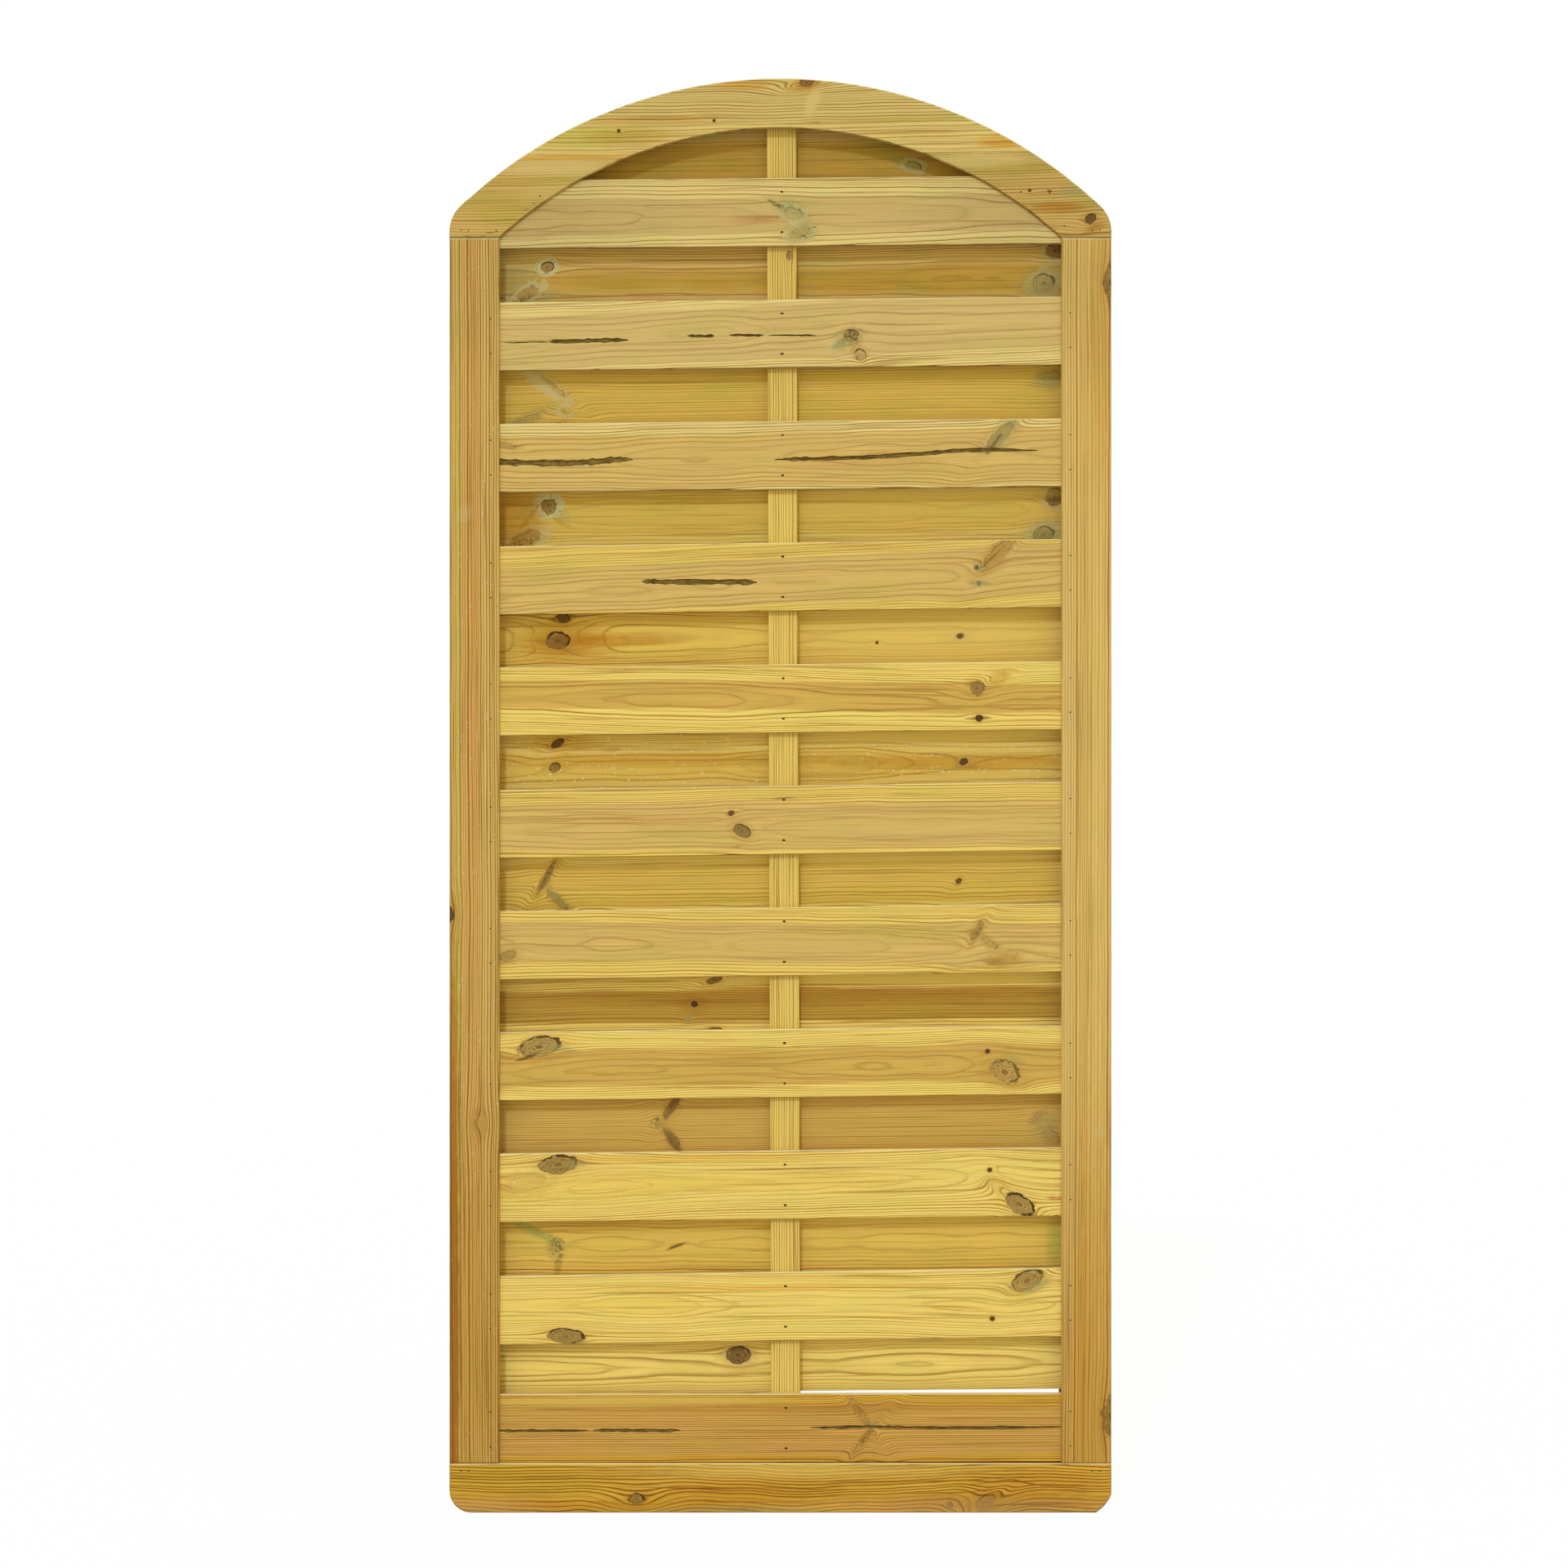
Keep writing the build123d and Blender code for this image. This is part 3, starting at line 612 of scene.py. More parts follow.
REAR_SLATS = [
    board(pith=(-20, 40), sap="khaki", heart="umber", heart_half=40, seed=21.3, light=0.97, green=0.8, knots=[
        knot(182, -17, 11, 6, "sound", -0.2, Darkness=0.4, Soundness=0.6, Bleach=0.5),
    ], stains=[
        moss(178, -16, 24, 10, 0.6, -0.3, 0.5),
    ]),
    board(pith=(-6, 40), drift=(0, -4), sap="khaki", heart="umber", heart_half=26, seed=22.2,
          green=0.6, knots=[
        knot(-319, 15, 9, 7, "sound", 0.2, Bleach=1, Bleach_Reach=1.9, Darkness=0.3),
        knot(-346, -21, 15, 8, "spike", 0.5, Bleach=0.7), knot(360, -14, 15, 12, "sound", 0.3, Bleach=0.3),
        knot(376, 30, 12, 10, "dark", Darkness=0.4, Bleach=0.4),
    ], stains=[
        moss(-360, -2, 30, 18, 0.5, 0.5, 0.5), moss(-330, -28, 30, 7, 0.5, 0.3, 0.4),
        moss(358, -14, 30, 22, 0.45, 0.3, 0.4), dirt(-352, -28, 20, 4, 0.6, 0.3, 0.7),
    ]),
    board(pith=(-70, 52), drift=(4, 0), sap="khaki", heart="honey", heart_middle=0, heart_half=36,
          sway=0.9, seed=23.4, green=0.5, light=0.945, knots=[
        knot(-310, 16, 20, 4, "spike", -0.7, Bleach=0.6), knot(-295, -17, 7, 5, "ghost", Bleach=0.6),
        knot(-350, -30, 20, 5, "spike", 0.5), knot(372, 22, 14, 9, "spike", 0.2),
    ], stains=[
        stain("bleached", -330, 22, 40, 7, 0.7, -0.7, Ragged=0.8), moss(-350, -28, 40, 9, 0.6, 0.4, 0.7),
        dirt(-320, -36, 30, 4, 0.6, 0.15, 0.8), moss(368, 19, 20, 12, 0.6, 0.1, 0.5),
    ]),
    board(pith=(6, 46), drift=(0, 4), sap="golden", heart="honey", heart_half=34, seed=24.1,
          green=0.4, light=0.905, knots=[
        knot(-317, 19, 11, 10, "sound", 0.1, Bleach=1, Bleach_Reach=1.9, Darkness=0.45, Bark=0.6),
        knot(-351, -27, 22, 9, "spike", 0.4, Bleach=0.5, Soundness=0.6),
        knot(360, -27, 15, 10, "sound", 0.3, Bleach=0.4),
        knot(376, 24, 12, 12, "dark", Darkness=0.4, Bleach=0.3),
    ], stains=[
        lit_edge(0.75), moss(-300, 8, 14, 8, 0.4, -0.6, 0.4), moss(-345, 12, 16, 12, 0.35, 0.6, 0.3),
        brown(-365, 0, 44, 36, 1, 0.9), brown(-344, 4, 20, 3, 0.6, 0.9, Ragged=0.9),
        brown(-300, -4, 14, 3, 0.5, -0.5, Ragged=0.9), moss(362, -24, 28, 18, 0.5, 0, 0.4),
        dirt(-350, -30, 22, 6, 0.6, 0.3, 0.8),
    ]),
    board(pith=(2, 46), sap="honey", heart="honey", heart_half=26, seed=25.6, light=1.02, knots=[
        knot(-305, 0, 16, 12, Darkness=0.45, Lift=8, Bend=2.6), knot(-297, 31, 9, 7, "dark"),
        knot(246, 1, 5, 3.5, "dark", 0.2, Bleach=0.3, Bleach_Reach=2.6), knot(132, -7, 1.8, 1.8, "pip"),
        swell(-290, 150, -5, 0),
    ], stains=[
        stain("butter", 230, 0, 230, 60, 0.5, Covering=0.9, Softness=0.8), lit_edge(0.6),
        brown(-300, 0, 62, 24, 0.9), brown(-225, 0, 80, 8, 0.8),
        stain("knot_dark", 246, 1, 5, 3.5, 0.8, 0.2, Covering=0.8),
        stain("knot_dark", 132, -7, 2.2, 2.2, 0.9, Covering=0.8),
    ]),
    board(pith=(-8, 46), drift=(0, 4), sap="golden", heart="honey", heart_half=26, seed=26.7,
          flecks=0.8, light=0.95, knots=[
        knot(-305, 25, 10, 5, "dark", 0.5), knot(-309, -8, 8, 6, "sound", 0.4, Darkness=0.6),
        knot(-233, 15, 8, 2, "spike"), knot(251, -6, 6, 4.5, "dark", 0.3, Bleach=0.3), swell(60, 130, -3, -6),
    ], stains=[
        lit_edge(0.75), brown(250, -6, 180, 10, 0.8), brown(-150, 0, 260, 10, 0.6),
        brown(-300, 24, 50, 12, 0.7),
    ]),
    board(pith=(-50, 50), drift=(4, 2), sap="butter", heart="honey", heart_middle=-4, heart_half=27,
          seed=27.5, green=0.4, light=0.985, knots=[
        knot(-322, 4, 20, 5, "spike", 1, Darkness=0.8, Soundness=0.7),
        knot(-306, -24, 18, 5, "spike", -0.8, Darkness=0.7, Soundness=0.7),
        knot(244, -4, 4.5, 3.5, "dark", 0.8),
    ], stains=[
        lit_edge(0.75), dirt(-318, 12, 24, 3, 0.7, 1.1, 0.7), moss(-306, -20, 22, 6, 0.6, -0.8, 0.7),
        olive(0, -30, 300, 16, 0.5),
    ]),
    board(pith=(-60, 40), sap="butter", heart="umber", heart_middle=-5, heart_half=22, ring=2.6,
          sway=0.8, seed=28.3, lines=0.95, knots=[
        knot(-118, -3, 4.5, 4, "pip", Bleach=0.12), knot(-126, -22, 3, 3, "ghost", Bleach=0.25),
        knot(-90, 30, 12, 4.5, "dark", 0.3, Darkness=0.35, Bark=0.6),
        knot(-90, -39, 10, 4, "dark", Darkness=0.35), swell(-200, 120, -3),
    ], stains=[
        lit_edge(0.75), moss(-126, -22, 7, 4, 0.7, 0, 0.5), brown(0, 6, 380, 12, 0.6),
        brown(-118, -4, 20, 12, 0.4),
    ]),
    board(pith=(150, 60), sap="honey", heart="brown_heart", heart_middle=3, heart_half=41, ring=2.6,
          sway=0.6, seed=29.9, knots=[
        knot(-148, 23, 19, 6, "spike", 1, Darkness=0.85, Soundness=0.7),
        knot(-148, -23, 19, 6, "spike", -1, Darkness=0.85, Soundness=0.7), knot(351, 3, 9, 4, "spike", 0.7),
        knot(372, -24, 12, 7, "spike", -0.8),
    ], stains=[
        dirt(-146, 26, 18, 5, 0.5, 1, 0.5), dirt(-146, -26, 18, 5, 0.5, -0.9, 0.5),
        moss(-168, 0, 10, 8, 0.6, 0, 0.7), dirt(-170, 2, 6, 6, 0.7, 0, 1),
        moss(360, -10, 18, 20, 0.5, 0.5, 0.5),
    ]),
    board(pith=(0, 54), sap="honey", heart="honey", heart_half=34, seed=30.8, green=0.4, light=1.03, knots=[
        knot(-308, 0, 7, 5, "spike", 0.7), knot(-143, -3, 9, 2, "spike", 0.3, Darkness=0.9, Bark=0.8),
    ], stains=[
        stain("green", -335, 18, 40, 7, 1, -0.45, 0.3), moss(-335, 20, 38, 5, 0.7, -0.45, 0.7),
        moss(-308, -6, 12, 16, 0.6, 0.4, 0.6), dirt(-305, -2, 9, 12, 0.6, 0.6, 1),
        dirt(-305, -28, 14, 5, 0.5, 1.4, 0.5), dirt(-143, -3, 12, 1.5, 0.7, 0.35),
        stain("green", 376, -6, 12, 30, 0.8), lit_edge(0.4),
    ]),
    board(pith=(-10, 34), drift=(0, 8), sap="butter", heart="straw", heart_half=10, seed=31.2, knots=[
        knot(-58, 5, 16, 12, "dark", Bleach=0.35, Bleach_Reach=1.35, Darkness=0.6), swell(200, 140, -4),
    ]),
]

FRAME_TIMBERS = {
    "left_stile": board(pith=(110, 60), drift=(2, 0), ring=2.9, sway=0.9, sap="khaki", heart="khaki",
        heart_half=17, lines=1, seed=41, flecks=0.3, light=1.04, knots=[
        knot(-87, 38, 12, 11, "dark"), knot(-370, -10, 12, 8, "ghost"),
    ], stains=[
        olive(300, 24, 900, 9, 0.5), orange(350, 2, 750, 10, 0.35, Softness=0.9, Ragged=0.15),
        pink(400, 3, 700, 9, 0.7, Softness=0.9, Ragged=0.15), brown(-560, 28, 420, 8, 0.8),
        brown(-700, 0, 330, 50, 0.7, Softness=0.9), brown(-650, 30, 500, 8, 0.8),
        stain("bleached", 459, 12, 11, 11, 0.25, Ragged=0.6), grey(790, 0, 120, 50, 0.5),
    ]),
    "right_stile": board(pith=(-130, 70), drift=(-2, 0), ring=3.4, sway=0.9, sap="khaki",
        heart="sand", heart_middle=-16, heart_half=12, lines=1, seed=42, light=1.09, knots=[
        knot(773, -32, 22, 9, Darkness=0.3, Bark=0.35), knot(-770, -33, 26, 11, Darkness=0.3, Bark=0.35),
    ], stains=[
        brown(-760, 0, 330, 50, 0.9, Softness=0.9), pale(100, 24, 700, 9, 0.35, Covering=1, Softness=0.9),
        stain("bleached", -383, -16, 8, 8, 0.25, Ragged=0.8), grey(790, 0, 130, 50, 0.5),
        brown(700, -20, 200, 14, 0.5),
    ]),
    "bottom_rail": board(pith=(-62, 44), ring=3, sway=4.2, sap="ochre", heart="ochre", heart_half=50,
        lines=1.35, seed=43, knots=[
        knot(-195, -15, 9, 8, Lift=9, Bend=2.4, Darkness=0.45), knot(230, -23, 4, 4, Bend=2),
        knot(279, -19, 14, 9, "sound", 0.6, Bark=0.7, Lift=10, Bend=2.2, Soundness=0.6, Darkness=0.35),
        swell(40, 110, 5, -20),
    ], stains=[
        pink(-400, -22, 90, 12, 0.9), stain("tan", -400, -24, 60, 9, 0.4, Covering=1, Softness=0.9),
        stain("tan", 250, -24, 200, 9, 0.35, Covering=1, Softness=0.9), pink(250, -20, 200, 12, 0.8),
        grey(300, -20, 140, 14, 0.8), stain("golden", 20, 24, 200, 9, 0.5, Covering=1, Softness=0.9),
        olive(-350, 10, 120, 22, 0.6), brown(-40, -6, 120, 14, 0.6), brown(-200, -24, 200, 9, 0.5),
        brown(340, 6, 100, 16, 0.4), moss(-60, -28, 90, 5, 0.3),
    ]),
    "centre_batten": board(pith=(60, 70), drift=(1, 0), ring=2, sway=0.5, sap="golden",
        heart="golden", lines=0.8, seed=44, knots=[
        knot(737, -8, 6, 4),
    ], stains=[
        grey(820, 0, 260, 30, 0.8, Softness=0.9),
    ]),
    "arch_crown_board": board(pith=(-40, 46), ring=2.8, sway=2.4, sap="olive", heart="olive",
        lines=0.9, seed=45, light=0.965, knots=[
        knot(37, 61, 10, 6, "dark", 0.2, Darkness=0.5, Push=2.2, Lift=5, Bend=2.4),
        knot(40, 2, 13, 3.5, "spike", 0.2, Soundness=0.8, Darkness=0.6), knot(-90, 11, 2, 2, "pip"),
    ], stains=[
        orange(-50, 60, 42, 8, 0.9), orange(36, 58, 24, 10, 0.8), pale(44, 34, 8, 20, 0.8, -0.4, Covering=0.8),
        brown(-150, 16, 90, 2, 0.6), orange(-190, 12, 90, 5, 0.5), brown(120, 5, 100, 3, 0.5),
        olive(200, 5, 90, 9, 0.9),
    ]),
    "arch_shoulder_board": board(pith=(-20, 60), ring=2.8, sway=1.8, sap="olive", heart="olive",
        heart_half=40, seed=46, light=1.06, knots=[
        knot(-219, 44, 2, 2, "pip"),
    ], stains=[
        orange(-290, 7, 80, 7, 1), brown(-280, 3, 80, 4, 0.8), orange(300, 20, 34, 9, 0.9),
        brown(302, 18, 30, 3, 0.6), olive(-260, 38, 80, 16, 1), brown(-200, 36, 60, 10, 0.5),
        brown(180, 34, 60, 2, 0.5), brown(210, 28, 50, 1.5, 0.5),
    ]),
    "arch_left_foot": board(pith=(-30, 52), ring=2.6, sway=1.4, sap="khaki", heart="khaki",
        heart_half=24, lines=0.75, green=0.6, seed=47, stains=[
        pale(-300, 100, 90, 11, 0.7, Covering=0.8), olive(-340, 84, 70, 6, 0.8),
        stain("bleached", -341, 51, 9, 5, 0.6, -0.6, 0.8), dirt(-339, 50, 8, 3, 0.5, 0.6, 1),
        olive(-360, 48, 80, 20, 0.8), pale(-300, 66, 60, 12, 0.4, Covering=0.7),
        dirt(-415, 10, 14, 1.6, 0.6, 0, 0.8), dirt(-395, 14, 6, 1, 0.5), dirt(-262, 72, 30, 4, 0.5, 0.55, 1),
    ]),
    "arch_right_foot": board(pith=(-30, 55), ring=2.6, sway=1.4, sap="khaki", heart="khaki",
        heart_half=50, green=0.9, seed=48, light=0.93, knots=[
        knot(422, 18, 8, 6, "dark", 0.5), knot(340, 58, 2, 2, "pip"),
    ], stains=[
        pale(270, 100, 80, 10, 0.7, Covering=0.8), olive(330, 88, 60, 9, 0.9), orange(380, 34, 34, 8, 0.9),
        brown(372, 36, 30, 3, 0.6), moss(396, 56, 16, 7, 0.5, 0, 0.3), dirt(368, 56, 3, 1.2, 0.8, 0.9),
        dirt(366, 57, 3, 1.2, 0.8, -0.9), dirt(392, 78, 12, 1.6, 0.7, -0.5), dirt(342, 24, 14, 4, 0.5, -0.5, 1),
        brown(428, 6, 16, 5, 0.8, 0.4),
    ]),
}


LENGTHS = ("Along", "Across", "Half_Length", "Half_Width", "Lift")


def as_inputs(marks):
    """A knot's or a stain's places, sizes and looks, as its node takes them."""
    return {key: value * MM if key in LENGTHS else value for key, value in marks.items() if key != "tint"}


def new_material(name):
    """An empty material, and the net that its nodes are written with."""
    material = bpy.data.materials.new(name)
    material.use_nodes = True
    material.node_tree.nodes.clear()
    return material, Net(material.node_tree)


def timber(name, facts, middle, slope):
    """Material of one board, whose rings lie along a line through its middle."""
    shades = bpy.context.scene.fence_colours
    shade = {key: as_light(getattr(shades, key)) for key in FenceColours.__annotations__}
    material, net = new_material(f"{name} timber")
    turn = Matrix.Rotation(slope, 3, "Y")
    position = net.value(
        "ShaderNodeMapping", Vector=net.value("ShaderNodeTexCoord", output="Object"),
        Location=-(turn @ middle), Rotation=(0, slope, 0),
    )
    place = net.split(position)
    seed = facts["seed"]
    roughen = net.cloud(net.stretched(place, (90, 40, 130), seed), detail=2.0) - 0.5
    crumbs = net.cloud(net.stretched(place, (260, 60, 330), seed), detail=2.0).ramp(0.55, 0.66)
    chain = dict.fromkeys(CHAIN, 0.0)
    for marks in facts["knots"]:
        so_far = {f"{key}_So_Far": value for key, value in chain.items()}
        made = net.group(
            "Knot", knot_group, Position=position, Roughen=roughen, Crumbs=crumbs, **so_far, **as_inputs(marks)
        )
        chain = {key: made.outputs[key] for key in CHAIN}
    (pith_across, pith_behind), (drift_across, drift_behind) = facts["pith"], facts["drift"]
    heart_middle = facts["heart_middle"]
    rings = net.group(
        "Growth rings", rings_group, Position=position, Shift=chain["Shift"], Hill=chain["Hill"],
        Pith_Across=pith_across * MM, Pith_Behind=pith_behind * MM, Drift_Across=drift_across * MM,
        Drift_Behind=drift_behind * MM, Sway=facts["sway"] * MM, Ring_Width=facts["ring"] * MM,
        Heart_Middle=(heart_middle or 0) * MM, Seed=seed,
    ).outputs
    is_band = heart_middle is not None
    heart_radius = facts["heart_half"] if is_band else math.hypot(pith_behind, facts["heart_half"])
    wood = net.group(
        "Treated timber", timber_group, Position=position, Radius=rings["Band" if is_band else "Radius"],
        **{key: rings[key] for key in RING_LOOKS}, **{key: chain[key] for key in CHAIN[2:]},
        Heart_Radius=heart_radius * MM, Line_Strength=facts["lines"],
        Sapwood=[c * facts["light"] for c in shade[facts["sap"]]],
        Heartwood=[c * facts["light"] for c in shade[facts["heart"]]],
        Latewood=shade["latewood"], Knot_Wood=shade["knot"], Dark_Knot=shade["knot_dark"],
        Knot_Rim=shade["knot_rim"], Knot_Shade=shade["knot_shade"], Bleached=shade["bleached"],
        Green=shade["green"], Green_Cast=facts["green"], Flecks=facts["flecks"], Seed=seed,
    ).outputs
    colour_so_far = wood["Base Color"]
    for marks in facts["stains"]:
        colour_so_far = net.group(
            "Stain", stain_group, Position=position, Wood=colour_so_far, Tint=shade[marks["tint"]], Seed=seed,
            **as_inputs(marks),
        ).outputs["Base Color"]
    bump = net.value("ShaderNodeBump", Height=wood["Height"], Distance=bpy.context.scene.fence_sizes.relief)
    skin = net.value(
        "ShaderNodeBsdfPrincipled", Base_Color=colour_so_far, Roughness=wood["Roughness"], Normal=bump,
        Specular_IOR_Level=0.12,
    )
    net.node("ShaderNodeOutputMaterial", Surface=skin)
    return material


def raw_wood(name, shade):
    """Material of torn wood, down in a split or a brad's pit."""
    if name in bpy.data.materials:
        return bpy.data.materials[name]
    material, net = new_material(name)
    place = net.split(net.value("ShaderNodeTexCoord", output="Object"))
    torn = net.cloud(net.stretched(place, (90, 500, 500), 0.0), detail=3.0)
    shade = as_light(shade)
    skin = net.value(
        "ShaderNodeBsdfPrincipled",
        Base_Color=net.blend(torn.ramp(0.3, 0.7), [c * 0.55 for c in shade], [min(1, c * 1.5) for c in shade]),
        Roughness=torn.ramp(0.0, 1.0, 0.75, 0.95),
        Normal=net.value("ShaderNodeBump", Height=torn, Distance=0.0005), Specular_IOR_Level=0.15,
    )
    net.node("ShaderNodeOutputMaterial", Surface=skin)
    return material


RUST = (0.30, 0.18, 0.10)


def steel():
    """Material of the brads: dulled steel with a brown bloom."""
    material, net = new_material("Brad steel")
    bloom = net.cloud(net.value("ShaderNodeTexCoord", output="Object"), scale=900.0, detail=3.0)
    shade = as_light(bpy.context.scene.fence_colours.steel)
    skin = net.value(
        "ShaderNodeBsdfPrincipled", Base_Color=net.blend(bloom.ramp(0.45, 0.65), shade, as_light(RUST)),
        Metallic=bloom.ramp(0.65, 0.45, 0.1, 0.9), Roughness=bloom.ramp(0.3, 0.7, 0.38, 0.75),
        Normal=net.value("ShaderNodeBump", Height=bloom, Distance=0.0001),
    )
    net.node("ShaderNodeOutputMaterial", Surface=skin)
    return material


# Shapes: each board is taken from its solid, then split, pitted and worn


OUT_OF_FACE = 0.002
NARROWEST_SPLIT = 0.00004
SPLIT_WANDER = 0.0007
RAGGED, FINELY_RAGGED = 170, 520


def blade(spots, width, depth, face, towards):
    """Wedge that opens a split: a line of spots on the face, widest in the middle, pointed at both ends."""
    bm = bmesh.new()
    steps = 6
    stations = [
        (x + (next_x - x) * step / steps, z + (next_z - z) * step / steps)
        for (x, z), (next_x, next_z) in zip(spots, spots[1:]) for step in range(steps)
    ]
    stations.append(spots[-1])
    last = len(stations) - 1
    rows = []
    for at, (x, z) in enumerate(stations):
        end = min(at, last - at) / last
        fullness = min(1, 0.12 + end / 0.16) ** 0.7
        jitter = noise.noise(Vector((x * RAGGED, z * RAGGED, 3.1)))
        jitter += 0.6 * noise.noise(Vector((x * FINELY_RAGGED, z * RAGGED, 8.3)))
        half = width / 2 * fullness * (1 + 0.55 * jitter) + NARROWEST_SPLIT
        middle = z + SPLIT_WANDER * noise.noise(Vector((x * 120, 7.7, 0)))
        deep = depth * (0.25 + 0.75 * fullness)
        corners = ((-OUT_OF_FACE, -1.3), (-OUT_OF_FACE, 1.3), (deep, 0.65), (deep, -0.65))
        rows.append([bm.verts.new((x, face + towards * y, middle + half * share)) for y, share in corners])
    for row, ahead in zip(rows, rows[1:]):
        for i in range(4):
            bm.faces.new((row[i], row[(i + 1) % 4], ahead[(i + 1) % 4], ahead[i]))
    bm.faces.new(rows[0][::-1])
    bm.faces.new(rows[-1])
    bmesh.ops.recalc_face_normals(bm, faces=bm.faces)
    return bm


PIT_OUT_OF_FACE = 0.0008


def pit(bm, x, y, z, towards, width, depth):
    """Add the torn pit over a brad's head to a cutter: wide at the face, narrow at the head."""
    sides = 9
    rings = []
    for radius, at in ((width * 0.62, -PIT_OUT_OF_FACE), (width * 0.5, 0.0), (width * 0.26, depth)):
        ring = []
        for i in range(sides):
            angle = 2 * math.pi * i / sides
            right, up = math.cos(angle), math.sin(angle)
            ragged = radius * (1 + 0.35 * noise.noise(Vector((x * 90 + right * 2, z * 90 + up * 2, 1.7))))
            ring.append(bm.verts.new((x + ragged * 1.25 * right, y + towards * at, z + ragged * 0.85 * up)))
        rings.append(ring)
    for ring, ahead in zip(rings, rings[1:]):
        for i in range(sides):
            bm.faces.new((ring[i], ring[(i + 1) % sides], ahead[(i + 1) % sides], ahead[i]))
    bm.faces.new(rings[0][::-1])
    bm.faces.new(rings[-1])


SAME_PLACE = 1e-6


def brad_heads(node_name, face):
    """Middle of each brad's head, on the side that it was driven from, read from the solid."""
    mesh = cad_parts[node_name].data
    bm = bmesh.new()
    bm.from_mesh(mesh)
    bmesh.ops.remove_doubles(bm, verts=bm.verts, dist=SAME_PLACE)
    bm.verts.ensure_lookup_table()
    heads = []
    seen = set()
    for vert in bm.verts:
        if vert in seen:
            continue
        island = {vert}
        front = [vert]
        while front:
            for edge in front.pop().link_edges:
                for other in edge.verts:
                    if other not in island:
                        island.add(other)
                        front.append(other)
        seen |= island
        xs, ys, zs = zip(*(v.co for v in island))
        heads.append((sum(xs) / len(xs), (min if face < 0 else max)(ys), sum(zs) / len(zs)))
    bm.free()
    return heads


FLAT_ENOUGH = math.radians(0.4)
SHARP_EDGE = math.radians(50)


def solid_mesh(node_name):
    """The node's own shape as a clean mesh, joined along its edges and with whole flat faces."""
    bm = bmesh.new()
    bm.from_mesh(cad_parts[node_name].data)
    bmesh.ops.remove_doubles(bm, verts=bm.verts, dist=2 * SAME_PLACE)
    bmesh.ops.dissolve_limit(bm, angle_limit=FLAT_ENOUGH, verts=bm.verts, edges=bm.edges)
    return bm


def to_object(bm, name):
    """A new object from a mesh in the making."""
    mesh = bpy.data.meshes.new(name)
    bm.to_mesh(mesh)
    bm.free()
    if "custom_normal" in mesh.attributes:
        mesh.attributes.remove(mesh.attributes["custom_normal"])
    made = bpy.data.objects.new(name, mesh)
    bpy.context.scene.collection.objects.link(made)
    return made


def cut_away(target, cutter_mesh, material):
    """Cut a closed shape out of a board, and leave its material on the cut."""
    cutter = to_object(cutter_mesh, f"{target.name}_cutter")
    cutter.data.materials.append(material)
    modifier = target.modifiers.new("Cut", "BOOLEAN")
    modifier.operation = "DIFFERENCE"
    modifier.solver = "EXACT"
    modifier.material_mode = "TRANSFER"
    modifier.object = cutter
    bpy.context.view_layer.update()
    cut = bpy.data.meshes.new_from_object(target.evaluated_get(bpy.context.evaluated_depsgraph_get()))
    target.modifiers.clear()
    target.data = cut
    bpy.data.objects.remove(cutter)


ARRIS_SLANT = 0.01
END_GRAIN_SLANT = 0.6


def wear(target, along, spacing, depth, seed):
    """Slice a board across its grain, and wear its arrises back by uneven amounts."""
    bm = bmesh.new()
    bm.from_mesh(target.data)
    places = [v.co.dot(along) for v in bm.verts]
    count = max(2, int((max(places) - min(places)) / spacing))
    step = (max(places) - min(places)) / count
    for i in range(1, count):
        bmesh.ops.bisect_plane(
            bm, geom=[*bm.verts, *bm.edges, *bm.faces], dist=SAME_PLACE,
            plane_co=along * (min(places) + i * step), plane_no=along,
        )
    bm.normal_update()
    moves = []
    for vert in bm.verts:
        if any(face.material_index for face in vert.link_faces):
            continue
        normal = vert.normal
        slant = 1 - max(abs(normal.x), abs(normal.y), abs(normal.z))
        if slant < ARRIS_SLANT or abs(normal.dot(along)) > END_GRAIN_SLANT:
            continue
        at = vert.co.dot(along)
        side = Vector((at * 14, seed + math.copysign(1, normal.y) * 3, math.copysign(2, normal.x + normal.z)))
        amount = 0.5 + 0.5 * noise.noise(side) + 0.35 * noise.noise(side * 4.1)
        moves.append((vert, -normal * depth * min(1, max(0, amount))))
    for vert, move in moves:
        vert.co += move
    bmesh.ops.triangulate(bm, faces=[f for f in bm.faces if len(f.verts) > 4])
    bm.to_mesh(target.data)
    bm.free()


def finish_shading(target):
    """Round the look of the arrises, and keep the flat faces flat."""
    mesh = target.data
    mesh.shade_smooth()
    mesh.set_sharp_from_angle(angle=SHARP_EDGE)
    modifier = target.modifiers.new("Flat faces", "WEIGHTED_NORMAL")
    modifier.mode = "FACE_AREA"
    modifier.weight = 90
    modifier.keep_sharp = True


HALF_SLAT = 0.0465
SLAT_END = 0.9


def slat_line(node_name):
    """Middle and slope of a slat, from its lower edge."""
    low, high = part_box(node_name)
    half = (high.x - low.x) / 2
    verts = [v.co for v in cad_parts[node_name].data.vertices]
    left = min((v for v in verts if v.x < -SLAT_END * half), key=lambda v: v.z)
    right = min((v for v in verts if v.x > SLAT_END * half), key=lambda v: v.z)
    slope = math.atan2(right.z - left.z, right.x - left.x)
    middle = Vector((0, (low.y + high.y) / 2, (left.z + right.z) / 2 + HALF_SLAT))
    return middle, slope


NEAR_FACE = 0.002


